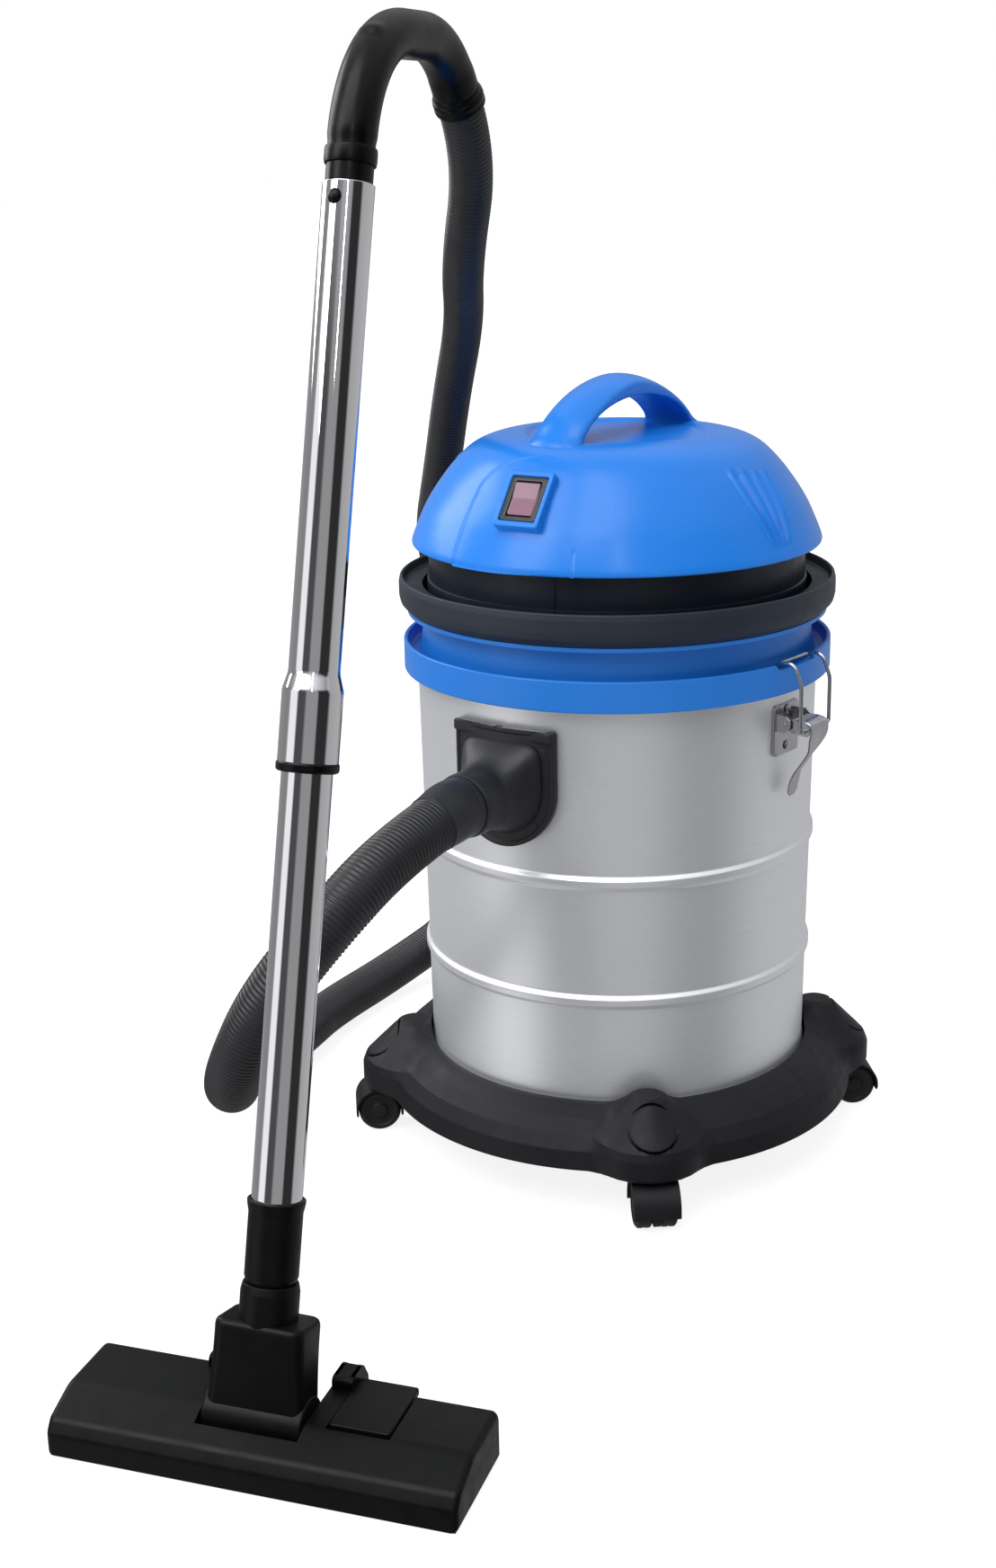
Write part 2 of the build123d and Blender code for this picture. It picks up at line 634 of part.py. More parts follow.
def body_profile():
    return make_face(Polyline((0, 0, 3.2), (0, 0, 17), (0, 6, 26), (0, 34, NOZZLE_HEIGHT),
                              (0, 86, NOZZLE_HEIGHT), (0, NOZZLE_DEPTH, 34), (0, NOZZLE_DEPTH, 3.2),
                              close=True))


def make_nozzle_body():
    body = extrude(body_profile(), NOZZLE_HALF, both=True, dir=(1, 0, 0))
    for x in ROLLER_X:
        body += box((x - 7.5, x + 7.5), (78, 108), (8, 47)) - box((x - 9, x + 9), (100, 120), (38, 50))
    body -= box((ELBOW_X - 38, ELBOW_X + 38), (19, 110), (7.5, 60))
    body -= box((-126, 126), (16, 34), (0, 15))
    for low, high in ((6.8, 12.2), (72.8, 78.2)):
        body -= box((-141, 141), (low, high), (0, 20))
    body -= Pos(ELBOW_X, TILT_AXIS_Y, TILT_AXIS_Z) * Rot(0, 90, 0) * Cylinder(4.06, 86)
    body -= box((PEDAL_X[0] - 1, PEDAL_X[1] + 1), (34, 100), (30, 60))
    body -= Pos((PEDAL_X[0] + PEDAL_X[1]) / 2, 64, 34) * Rot(0, 90, 0) * Cylinder(1.55, 50)
    for x in ROLLER_X:
        body -= box((x - 4.6, x + 4.6), (80, 120), (-1, 31))
        body -= Pos(x, 96, ROLLER_R) * Rot(0, 90, 0) * Cylinder(2.06, 14)
    return nozzle(body)


def make_sole_plate():
    body = box((-148, 148), (2, 88), (0, 3.2))
    body -= box((-124, 124), (18, 32), (-1, 4))
    for low, high in ((6.8, 12.2), (72.8, 78.2)):
        body -= box((-141, 141), (low, high), (-1, 4))
    for x in ROLLER_X:
        body -= box((x - 8, x + 8), (79, 90), (-1, 4))
    return nozzle(body)


def make_brush_strips():
    strips = [box((-140, 140), (low, low + 4.6), (1, 13.5)) for low in (7.2, 73.2)]
    return [nozzle(strip) for strip in strips]


def make_pedal():
    """Rocking plate that changes the nozzle from carpet to hard floor."""
    pin = Pos((PEDAL_X[0] + PEDAL_X[1]) / 2, 64, 34) * Rot(0, 90, 0) * Cylinder(1.5, 48.6)
    return nozzle(box(PEDAL_X, (37, 95), (34.5, 39.5)) + pin)


def make_nozzle_roller(x):
    wheel = Pos(x, 96, ROLLER_R) * Rot(0, 90, 0) * Cylinder(ROLLER_R, 8)
    axle = Pos(x, 96, ROLLER_R) * Rot(0, 90, 0) * Cylinder(2, 13)
    return nozzle(wheel + axle)


# ---------------------------------------------------------------- every node
put("drum", make_drum())
put("dolly", make_dolly())
put("lobe_caps", *make_caps())
put("dolly_screws", *make_dolly_screws())
put("inlet_flange", make_inlet_flange())
put("inlet_gasket", make_inlet_gasket())
put("inlet_screws", *make_inlet_screws())
put("inlet_cuff", make_inlet_cuff())
put("hose", make_hose())
put("handle_cuff", make_handle_cuff())
put("bent_handle", make_bent_handle())
put("air_slide", make_air_slide())
put("spring_button", spring_button(3.42, 5))
put("upper_tube", make_upper_tube())
put("socket_ring", make_socket_ring())
put("lower_tube", make_lower_tube())
put("nozzle_neck", make_nozzle_neck())
put("nozzle_elbow", make_nozzle_elbow())
put("nozzle_body", make_nozzle_body())
put("sole_plate", make_sole_plate())
put("brush_strips", *make_brush_strips())
put("nozzle_pedal", make_pedal())
for side, x in zip(("left", "right"), ROLLER_X):
    put(f"nozzle_roller_{side}", make_nozzle_roller(x))

for number, angle in enumerate(lobe_angles(), start=1):
    put(f"caster_hood_{number}", facing(angle) * make_caster_hood())
    put(f"caster_axle_{number}", facing(angle) * make_caster_axle())
    put(f"caster_wheels_{number}", *[facing(angle) * wheel for wheel in make_caster_wheels()])

put("latch_brackets", *[facing(azimuth) * make_latch_bracket() for azimuth in LATCH_AZIMUTHS.values()])
put("latch_rivets", *make_latch_rivets())
put("latch_pins", *make_latch_pins())
for side, azimuth in LATCH_AZIMUTHS.items():
    put(f"latch_lever_{side}", facing(azimuth) * make_latch_lever())
    put(f"latch_bail_{side}", facing(azimuth) * make_latch_bail())

put("rim", make_rim())
put("rim_gasket", make_rim_gasket())
put("bumper", make_bumper())
put("neck", make_neck())
put("dome", make_dome())
put("carry_handle", *make_carry_handle())
put("switch_bezel", make_switch_bezel())
put("switch_frame", make_switch_frame())
put("rocker", make_rocker())
put("cord_gland", make_cord_gland())
put("motor_plate", make_motor_plate())
put("motor", make_motor())
put("rotor", make_rotor())
put("float_cage", make_float_cage())
put("float", make_float())
put("filter", make_filter())
put("head_screws", *make_head_screws())
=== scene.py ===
"""Looks of the wet and dry vacuum cleaner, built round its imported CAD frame.

Shapes are drawn in millimetres about the drum's own axis and turned into metres when they are made.
An azimuth is an angle about the drum's axis, from the front (-Y) towards +X.
"""

import json
from math import acos, ceil, cos, pi, radians, sin, sqrt, tan

import bmesh
import bpy
import numpy as np
from mathutils import Matrix, Vector


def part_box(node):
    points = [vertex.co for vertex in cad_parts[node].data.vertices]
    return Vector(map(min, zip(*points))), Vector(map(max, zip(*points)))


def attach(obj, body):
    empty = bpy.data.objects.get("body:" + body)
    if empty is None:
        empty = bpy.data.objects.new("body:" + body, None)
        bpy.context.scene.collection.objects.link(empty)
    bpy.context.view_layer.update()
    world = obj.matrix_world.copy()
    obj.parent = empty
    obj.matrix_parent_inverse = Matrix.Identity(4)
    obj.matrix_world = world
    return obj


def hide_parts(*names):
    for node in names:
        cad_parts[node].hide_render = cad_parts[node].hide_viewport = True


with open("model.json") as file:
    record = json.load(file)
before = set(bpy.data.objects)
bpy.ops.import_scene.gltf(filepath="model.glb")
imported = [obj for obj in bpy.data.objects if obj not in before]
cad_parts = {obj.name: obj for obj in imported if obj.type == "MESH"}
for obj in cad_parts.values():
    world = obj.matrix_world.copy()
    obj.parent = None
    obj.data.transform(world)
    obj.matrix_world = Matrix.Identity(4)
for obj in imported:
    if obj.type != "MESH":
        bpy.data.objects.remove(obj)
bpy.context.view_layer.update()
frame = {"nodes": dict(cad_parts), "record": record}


# ---------------------------------------------------------------- places
def middle(node):
    low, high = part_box(node)
    return (low + high) / 2


AXIS = middle("bumper")
DRUM = Matrix.Translation((AXIS.x, AXIS.y, 0)) @ Matrix.Scale(0.001, 4)


def facing(azimuth):
    """Place of a piece drawn at the front of the drum and turned to an azimuth."""
    return DRUM @ Matrix.Rotation(radians(azimuth), 4, "Z")


def frame_of(origin, along, side):
    """Place of a piece drawn up the Z axis, for an origin, that axis and a rough X axis."""
    z = Vector(along).normalized()
    x = (Vector(side) - Vector(side).dot(z) * z).normalized()
    y = z.cross(x)
    turn = Matrix((x, y, z)).transposed().to_4x4()
    return DRUM @ Matrix.Translation(origin) @ turn


TUBE_TOP = Vector((-174.7, -348.3, 832.9))
RISE = Vector((0.0821, 0.2311, 0.9695)).normalized()
WAND = frame_of(TUBE_TOP, RISE, (0.9645, -0.2645, 0))
NOZZLE = DRUM @ Matrix.Translation((-247.5, -587.4, 0)) @ Matrix.Rotation(radians(-15.35), 4, "Z")
REACH = Vector((0.28, 0.96, 0))
MOUTH = TUBE_TOP + REACH * 205 + Vector((0, 0, 62))
MOUTH_DOWN = (REACH * 29 - Vector((0, 0, 35))).normalized()
SWITCH_AZIMUTH = -28.4
SWITCH = (facing(SWITCH_AZIMUTH) @ Matrix.Translation((0, -147.5, 586))
          @ Matrix.Rotation(radians(-38), 4, "X"))
INLET = -31.8
INLET_Z = 356.0
LATCHES = {"right": 54.0, "left": -126.0}
LOBES = [8.0, 98.0, 188.0, 278.0]


# ---------------------------------------------------------------- finishes
def shader(name, colour, rough, shade=0.06, metallic=0.0, mottle=14.0, grain=1500.0, bump=0.12,
           depth=0.0002, stretch=(1, 1, 1), **sockets):
    """A procedural finish: near shades mixed by broad noise, roughness by finer noise, bump by grain."""
    made = bpy.data.materials.new(name)
    made.use_nodes = True
    nodes, links = made.node_tree.nodes, made.node_tree.links
    surface = nodes["Principled BSDF"]
    surface.inputs["Metallic"].default_value = metallic
    for socket, value in sockets.items():
        surface.inputs[socket.replace("_", " ")].default_value = value
    place = nodes.new("ShaderNodeTexCoord")
    mapping = nodes.new("ShaderNodeMapping")
    mapping.inputs["Scale"].default_value = stretch
    links.new(place.outputs["Object"], mapping.inputs["Vector"])

    def noise(scale, detail):
        made_noise = nodes.new("ShaderNodeTexNoise")
        made_noise.inputs["Scale"].default_value = scale
        made_noise.inputs["Detail"].default_value = detail
        links.new(mapping.outputs["Vector"], made_noise.inputs["Vector"])
        return made_noise.outputs["Fac"]

    ramp = nodes.new("ShaderNodeValToRGB")
    ramp.color_ramp.elements[0].position, ramp.color_ramp.elements[1].position = 0.3, 0.7
    for element, factor in zip(ramp.color_ramp.elements, (1 - shade, 1 + shade)):
        element.color = (*[min(1.0, c * factor) for c in colour], 1)
    links.new(noise(mottle, 3), ramp.inputs["Fac"])
    links.new(ramp.outputs["Color"], surface.inputs["Base Color"])
    spread = nodes.new("ShaderNodeMapRange")
    spread.inputs["From Min"].default_value, spread.inputs["From Max"].default_value = 0.3, 0.7
    spread.inputs["To Min"].default_value, spread.inputs["To Max"].default_value = rough
    links.new(noise(mottle * 5, 5), spread.inputs["Value"])
    links.new(spread.outputs["Result"], surface.inputs["Roughness"])
    relief = nodes.new("ShaderNodeBump")
    relief.inputs["Strength"].default_value = bump
    relief.inputs["Distance"].default_value = depth
    links.new(noise(grain, 2), relief.inputs["Height"])
    links.new(relief.outputs["Normal"], surface.inputs["Normal"])
    return made


def brushed(name, colour, rough, metallic=1.0, lines=(6, 6, 900), anisotropy=0.5, bump=0.05):
    """Metal rolled round its axis: fine lines in roughness and relief."""
    made = shader(name, colour, rough, shade=0.05, metallic=metallic, mottle=6.0, grain=1.0, bump=bump,
                  depth=0.0001, stretch=lines, Anisotropic=anisotropy)
    return made


BLUE = shader("blue_shell", (0.010, 0.165, 0.60), (0.24, 0.30), 0.02, mottle=5, grain=700, bump=0.015,
              Specular_IOR_Level=0.30)
BLUE_DEEP = shader("blue_rim", (0.009, 0.140, 0.50), (0.30, 0.38), 0.02, mottle=5, grain=700, bump=0.02,
                   Specular_IOR_Level=0.30)
NECK_DARK = shader("neck_plastic", (0.0055, 0.0095, 0.018), (0.34, 0.44), 0.10, grain=1100, bump=0.06,
                   Specular_IOR_Level=0.28)
BUMPER_DARK = shader("bumper_rubber", (0.013, 0.018, 0.029), (0.44, 0.55), 0.08, grain=1400, bump=0.10,
                     Specular_IOR_Level=0.30)
BLACK = shader("moulded_black", (0.0120, 0.0124, 0.0140), (0.38, 0.50), 0.12, grain=1600, bump=0.12,
               Specular_IOR_Level=0.36)
DOLLY_BLACK = shader("dolly_black", (0.0060, 0.0063, 0.0078), (0.44, 0.56), 0.12, grain=1300, bump=0.14,
                     Specular_IOR_Level=0.20)
NOZZLE_BLACK = shader("nozzle_black", (0.0016, 0.0018, 0.0017), (0.34, 0.46), 0.15, grain=1800, bump=0.10,
                      Specular_IOR_Level=0.13)
HANDLE_BLACK = shader("handle_black", (0.0012, 0.0013, 0.0013), (0.26, 0.36), 0.12, grain=1200, bump=0.05,
                      Specular_IOR_Level=0.16)
HOSE_BLACK = shader("hose_black", (0.0120, 0.0122, 0.0138), (0.34, 0.46), 0.18, mottle=40, grain=2200,
                    bump=0.08, Specular_IOR_Level=0.38)
CHROME = shader("chrome", (0.80, 0.80, 0.82), (0.03, 0.07), 0.015, metallic=1.0, mottle=9, grain=350,
                bump=0.012, stretch=(1, 1, 0.15))
DRUM_STEEL = brushed("drum_steel", (0.79, 0.80, 0.825), (0.34, 0.42), metallic=0.76)
STEEL = shader("zinc_steel", (0.50, 0.50, 0.52), (0.18, 0.32), 0.08, metallic=1.0, mottle=60, grain=900,
               bump=0.06)
# Black plastic for the inlet ledge's pads: glossier than the moulded black, and painted lighter as a painted
# highlight for the ledge's bright strips.
PAD_GLOSS_AND_PAINTED_HIGHLIGHT = shader("polished_black_painted_highlight", (0.03, 0.03, 0.032), (0.12, 0.2), 0.1, grain=1500, bump=0.03,
                   Specular_IOR_Level=1.0)
TREAD = shader("wheel_black", (0.008, 0.008, 0.009), (0.5, 0.65), 0.15, grain=1500, bump=0.2,
               Specular_IOR_Level=0.3)
RED_LENS = shader("red_lens", (0.22, 0.10, 0.15), (0.16, 0.24), 0.05, grain=500, bump=0.02,
                  Transmission_Weight=0.15, IOR=1.49, Coat_Weight=0.1)
SWITCH_BLACK = shader("switch_black", (0.010, 0.010, 0.011), (0.16, 0.24), 0.08, grain=1500, bump=0.04)
SEAL = shader("seal_rubber", (0.012, 0.012, 0.012), (0.6, 0.75), 0.2, grain=1800, bump=0.2)
BRISTLE = shader("bristle", (0.012, 0.012, 0.012), (0.55, 0.7), 0.3, mottle=300, grain=2600, bump=0.6,
                 depth=0.0006, stretch=(1, 1, 0.08))
CLOTH = shader("filter_cloth", (0.62, 0.62, 0.58), (0.85, 0.95), 0.10, mottle=60, grain=2600, bump=0.5,
               depth=0.0004, Sheen_Weight=0.3)
INNER = shader("inner_plastic", (0.05, 0.05, 0.055), (0.45, 0.6), 0.12, grain=1200, bump=0.15)
MOTOR_METAL = shader("motor_metal", (0.48, 0.48, 0.50), (0.30, 0.45), 0.10, metallic=0.9, mottle=40,
                     grain=900, bump=0.12)


# ---------------------------------------------------------------- shapes
def rounded(corners, closed=True, step=0.26, beside=0.7):
    """An outline with its (x, y, radius) corners rounded, and a point close beside each arc."""
    corners = [(*c, 0.0)[:3] for c in corners]
    count, out = len(corners), []
    for k, (x, y, radius) in enumerate(corners):
        here = np.array((x, y), float)
        if radius <= 0 or (not closed and k in (0, count - 1)):
            out.append(here)
            continue
        back = np.array(corners[k - 1][:2], float) - here
        on = np.array(corners[(k + 1) % count][:2], float) - here
        run_back, run_on = np.linalg.norm(back), np.linalg.norm(on)
        back, on = back / run_back, on / run_on
        turn = pi - acos(max(-1.0, min(1.0, float(back @ on))))
        if turn < 0.03:
            out.append(here)
            continue
        cut = min(radius * tan(turn / 2), 0.44 * run_back, 0.44 * run_on)
        radius = cut / tan(turn / 2)
        centre = here + (back + on) / np.linalg.norm(back + on) * radius / cos(turn / 2)
        first, last = here + back * cut - centre, here + on * cut - centre
        gap = min(beside, 0.2 * (run_back - cut)), min(beside, 0.2 * (run_on - cut))
        out.append(here + back * (cut + gap[0]))
        parts = max(2, ceil(turn / step))
        for f in np.linspace(0, 1, parts + 1):
            out.append(centre + (sin((1 - f) * turn) * first + sin(f * turn) * last) / sin(turn))
        out.append(here + on * (cut + gap[1]))
    return np.array(out)


def quads(rows, columns, wrap_rows, wrap_columns):
    i, j = np.meshgrid(np.arange(rows if wrap_rows else rows - 1),
                       np.arange(columns if wrap_columns else columns - 1), indexing="ij")
    i2, j2 = (i + 1) % rows, (j + 1) % columns
    return np.stack([i * columns + j, i2 * columns + j, i2 * columns + j2, i * columns + j2],
                    -1).reshape(-1, 4).tolist()


def lathe(profile, steps=192, warp=None):
    """A closed (radius, height) outline turned about Z. warp(azimuth, r, z) may move its points."""
    a = np.linspace(0, 2 * pi, steps, endpoint=False)[:, None]
    r, z = profile[None, :, 0] + 0 * a, profile[None, :, 1] + 0 * a
    if warp:
        r, z = warp(np.degrees(a) + 0 * r, r, z)
    points = np.stack([r * np.sin(a), -r * np.cos(a), z], -1).reshape(-1, 3)
    return points, quads(steps, len(profile), True, True)


def loft(rings, closed=False):
    """Rings of points joined in order, with flat ends unless closed."""
    rows, columns = len(rings), len(rings[0])
    faces = quads(rows, columns, closed, True)
    if not closed:
        faces += [list(range(columns)), list(range((rows - 1) * columns, rows * columns))]
    return np.concatenate(rings), faces


def joined(*shapes):
    points, faces, base = [], [], 0
    for shape_points, shape_faces in shapes:
        points.append(shape_points)
        faces += [[k + base for k in face] for face in shape_faces]
        base += len(shape_points)
    return np.concatenate(points), faces


def moved(shape, matrix):
    points = np.asarray(shape[0])
    m = np.array(matrix)
    return points @ m[:3, :3].T + m[:3, 3], shape[1]


def oblong(half_x, half_y, radius, inset=0.0, arc=6):
    """A rounded rectangle drawn in by an inset, always with the same number of points."""
    half_x, half_y = half_x - inset, half_y - inset
    radius = max(0.25, min(radius - inset, half_x - 0.05, half_y - 0.05))
    out = []
    for quarter, (sx, sy) in enumerate(((1, 1), (-1, 1), (-1, -1), (1, -1))):
        turn = np.linspace(quarter * pi / 2, (quarter + 1) * pi / 2, arc + 1)
        x, y = sx * (half_x - radius) + radius * np.cos(turn), sy * (half_y - radius) + radius * np.sin(turn)
        out += list(zip(x, y))
    return np.array(out)


def stacked(outline, profile, closed=False):
    """A solid whose (inset, height) profile runs round an outline, a function of the inset."""
    rings = []
    for inset, height in profile:
        flat = outline(inset)
        rings.append(np.column_stack([flat, np.full(len(flat), height)]))
    return loft(rings, closed)


def slab(half_x, half_y, radius, low, high, edge=0.8, arc=6):
    """A rounded rectangle plate with rounded top and bottom edges."""
    profile = rounded([(6 * edge, low), (0, low, edge), (0, high, edge), (6 * edge, high)], closed=False)
    return stacked(lambda inset: oblong(half_x, half_y, radius, inset, arc), profile)


def tube_frames(line, side=None):
    """Tangent, normal and side of every point of a line. A flat line gives its own side."""
    tangent = np.gradient(line, axis=0)
    tangent /= np.linalg.norm(tangent, axis=1)[:, None]
    if side is not None:
        side = np.repeat(np.array(side, float)[None] / np.linalg.norm(side), len(line), 0)
        normal = np.cross(side, tangent)
        normal /= np.linalg.norm(normal, axis=1)[:, None]
        return tangent, normal, side
    normal = np.zeros_like(line)
    n = np.cross(tangent[0], (0.3, 0.9, 0.1))
    for k, t in enumerate(tangent):
        n = n - (n @ t) * t
        n /= np.linalg.norm(n)
        normal[k] = n
    return tangent, normal, np.cross(tangent, normal)


def swept(line, radius, around=40, side=None):
    """A round bar of changing radius along a line, with flat ends."""
    tangent, normal, across = tube_frames(line, side)
    a = np.linspace(0, 2 * pi, around, endpoint=False)
    radius = np.broadcast_to(radius, (len(line),))
    rings = (line[:, None] + radius[:, None, None]
             * (normal[:, None] * np.cos(a)[None, :, None] + across[:, None] * np.sin(a)[None, :, None]))
    return loft(list(rings))


def round_path(corners, step=3.0):
    """A line through (x, y, z, radius) corners with rounded bends, as points about a step apart."""
    out = []
    corners = [(*c, 0.0)[:4] for c in corners]
    points = [np.array(c[:3], float) for c in corners]
    out.append(points[0])
    for k in range(1, len(points) - 1):
        back, on = points[k - 1] - points[k], points[k + 1] - points[k]
        run_back, run_on = np.linalg.norm(back), np.linalg.norm(on)
        back, on = back / run_back, on / run_on
        turn = pi - acos(max(-1.0, min(1.0, float(back @ on))))
        cut = min(corners[k][3] * tan(turn / 2), 0.49 * run_back if k > 1 else 0.98 * run_back, 0.98 * run_on)
        radius = cut / tan(turn / 2)
        centre = points[k] + (back + on) / np.linalg.norm(back + on) * radius / cos(turn / 2)
        first, last = points[k] + back * cut - centre, points[k] + on * cut - centre
        parts = max(3, ceil(turn * radius / step))
        for f in np.linspace(0, 1, parts + 1):
            out.append(centre + (sin((1 - f) * turn) * first + sin(f * turn) * last) / sin(turn))
    out.append(points[-1])
    return spaced(np.array(out), step)


def spaced(line, step):
    """The same line with points an even step apart."""
    run = np.concatenate([[0], np.cumsum(np.linalg.norm(np.diff(line, axis=0), axis=1))])
    at = np.linspace(0, run[-1], max(3, int(round(run[-1] / step)) + 1))
    return np.column_stack([np.interp(at, run, line[:, k]) for k in range(3)])


def run_of(line):
    return np.concatenate([[0], np.cumsum(np.linalg.norm(np.diff(line, axis=0), axis=1))])


def ease(value, low, high):
    """0 below low, 1 above high, smooth between."""
    t = np.clip((np.asarray(value, float) - low) / (high - low), 0, 1)
    return t * t * (3 - 2 * t)


# ---------------------------------------------------------------- pieces
def new_object(name, mesh, finish):
    mesh.materials.clear()
    mesh.materials.append(finish)
    made = bpy.data.objects.new(name, mesh)
    bpy.context.scene.collection.objects.link(made)
    return made


def mesh_of(shape, place=DRUM, name="shape"):
    points, faces = shape
    mesh = bpy.data.meshes.new(name)
    mesh.from_pydata(np.asarray(points, float).tolist(), [], faces)
    work = bmesh.new()
    work.from_mesh(mesh)
    bmesh.ops.remove_doubles(work, verts=work.verts, dist=1e-4)
    bmesh.ops.recalc_face_normals(work, faces=work.faces)
    work.to_mesh(mesh)
    work.free()
    mesh.transform(place)
    return mesh


def smoothed(mesh, crease=38):
    for polygon in mesh.polygons:
        polygon.use_smooth = True
    mesh.set_sharp_from_angle(angle=radians(crease))


def piece(name, shape, finish, body, replaces=(), place=DRUM, crease=38):
    """One piece of the look: its shape, finish, body and the CAD nodes it stands for."""
    mesh = mesh_of(shape, place, name)
    smoothed(mesh, crease)
    return settle(new_object(name, mesh, finish), body, replaces)


def settle(made, body, replaces=()):
    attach(made, body)
    if replaces:
        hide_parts(*replaces)
    return made


def applied(made):
    """Turns an object's modifiers into its mesh."""
    bpy.context.view_layer.update()
    shape = made.evaluated_get(bpy.context.evaluated_depsgraph_get())
    mesh = bpy.data.meshes.new_from_object(shape)
    made.modifiers.clear()
    made.data = mesh
    return made


def cut(made, *cutters, place=DRUM, operation="DIFFERENCE"):
    """Cuts shapes out of an object."""
    for number, cutter in enumerate(cutters):
        tool = bpy.data.objects.new("cutter", mesh_of(cutter, place))
        bpy.context.scene.collection.objects.link(tool)
        step = made.modifiers.new("cut", "BOOLEAN")
        step.operation, step.solver, step.object = operation, "EXACT", tool
        applied(made)
        bpy.data.objects.remove(tool)
    return made


def bevelled(made, width, segments=3, angle=32, crease=38):
    """Rounds an object's edges, width in millimetres."""
    work = bmesh.new()
    work.from_mesh(made.data)
    bmesh.ops.remove_doubles(work, verts=work.verts, dist=1e-6)
    bmesh.ops.dissolve_limit(work, angle_limit=radians(1.5), verts=work.verts, edges=work.edges)
    work.to_mesh(made.data)
    work.free()
    step = made.modifiers.new("edges", "BEVEL")
    step.width, step.segments, step.limit_method = width / 1000, segments, "ANGLE"
    step.angle_limit = radians(angle)
    step.harden_normals = False
    applied(made)
    smoothed(made.data, crease)
    step = made.modifiers.new("shading", "WEIGHTED_NORMAL")
    step.keep_sharp = True
    return applied(made)


def softened(name, nodes, finish, body, width=0.6, segments=2, angle=32):
    """A copy of CAD nodes with rounded edges, which stands for them."""
    work = bmesh.new()
    for node in nodes:
        work.from_mesh(frame["nodes"][node].data)
    mesh = bpy.data.meshes.new(name)
    work.to_mesh(mesh)
    work.free()
    made = bevelled(new_object(name, mesh, finish), width, segments, angle)
    made.data.materials.clear()
    made.data.materials.append(finish)
    return settle(made, body, nodes)


def box_shape(x, y, z):
    corners = [(x[i], y[j], z[k]) for i in (0, 1) for j in (0, 1) for k in (0, 1)]
    faces = [[0, 1, 3, 2], [4, 6, 7, 5], [0, 4, 5, 1], [2, 3, 7, 6], [0, 2, 6, 4], [1, 5, 7, 3]]
    return np.array(corners, float), faces


def upright(shape, at, along):
    """Moves a shape drawn up +Z to a point, turned so that it points along a direction."""
    turn = Vector((0, 0, 1)).rotation_difference(Vector(along)).to_matrix().to_4x4()
    return moved(shape, Matrix.Translation(at) @ turn)


# ---------------------------------------------------------------- camera, light and floor
def set_camera():
    data = bpy.data.cameras.new("camera")
    data.sensor_fit, data.sensor_height, data.lens = "VERTICAL", 36.0, 48.28
    data.clip_end = 100
    yaw, pitch, roll = radians(-3.37), radians(17.02), radians(-1.08)
    forward = Vector((sin(yaw) * cos(pitch), cos(yaw) * cos(pitch), -sin(pitch)))
    right = Vector((cos(yaw), -sin(yaw), 0))
    up = right.cross(forward)
    right, up = cos(roll) * right + sin(roll) * up, -sin(roll) * right + cos(roll) * up
    camera = bpy.data.objects.new("camera", data)
    bpy.context.scene.collection.objects.link(camera)
    camera.matrix_world = (Matrix.Translation(DRUM @ Vector((0, -1776, 859)))
                           @ Matrix((right, up, -forward)).transposed().to_4x4())
    bpy.context.scene.camera = camera


def set_world():
    """A white studio: the camera sees plain white, and reflections see soft boxes and dark gaps."""
    world = bpy.data.worlds.new("studio")
    bpy.context.scene.world = world
    world.use_nodes = True
    nodes, links = world.node_tree.nodes, world.node_tree.links
    nodes.clear()
    output = nodes.new("ShaderNodeOutputWorld")
    white, studio = nodes.new("ShaderNodeBackground"), nodes.new("ShaderNodeBackground")
    mix, rays = nodes.new("ShaderNodeMixShader"), nodes.new("ShaderNodeLightPath")
    white.inputs["Color"].default_value = (1, 1, 1, 1)
    place, split = nodes.new("ShaderNodeTexCoord"), nodes.new("ShaderNodeSeparateXYZ")
    links.new(place.outputs["Generated"], split.inputs[0])
    turn = nodes.new("ShaderNodeMath")
    turn.operation = "ARCTAN2"
    minus = nodes.new("ShaderNodeMath")
    minus.operation, minus.inputs[1].default_value = "MULTIPLY", -1
    links.new(split.outputs["Y"], minus.inputs[0])
    links.new(split.outputs["X"], turn.inputs[0])
    links.new(minus.outputs[0], turn.inputs[1])
    share = nodes.new("ShaderNodeMapRange")
    share.inputs["From Min"].default_value, share.inputs["From Max"].default_value = -pi, pi
    links.new(turn.outputs[0], share.inputs["Value"])
    stripes = nodes.new("ShaderNodeValToRGB")
    bands = [(-180, 0.36), (-96, 0.26), (-84, 0.28), (-78, 1.0), (-52, 1.0), (-46, 0.08), (-20, 0.08),
             (-12, 0.32), (26, 0.32), (32, 0.03), (68, 0.03), (78, 0.42), (140, 0.50), (180, 0.36)]
    ramp = stripes.color_ramp
    while len(ramp.elements) < len(bands):
        ramp.elements.new(0.5)
    for element, (azimuth, light) in zip(ramp.elements, bands):
        element.position = (azimuth + 180) / 360
    for element, (azimuth, light) in zip(ramp.elements, bands):
        element.color = (light, light, light * 1.02, 1)
    links.new(share.outputs["Result"], stripes.inputs["Fac"])
    overhead = nodes.new("ShaderNodeMapRange")
    overhead.inputs["From Min"].default_value, overhead.inputs["From Max"].default_value = 0.35, 0.75
    links.new(split.outputs["Z"], overhead.inputs["Value"])
    sky = nodes.new("ShaderNodeMixRGB")
    sky.inputs["Color2"].default_value = (0.95, 0.97, 1, 1)
    links.new(overhead.outputs["Result"], sky.inputs["Fac"])
    links.new(stripes.outputs["Color"], sky.inputs["Color1"])
    links.new(sky.outputs["Color"], studio.inputs["Color"])
    links.new(rays.outputs["Is Camera Ray"], mix.inputs["Fac"])
    links.new(studio.outputs[0], mix.inputs[1])
    links.new(white.outputs[0], mix.inputs[2])
    links.new(mix.outputs[0], output.inputs["Surface"])


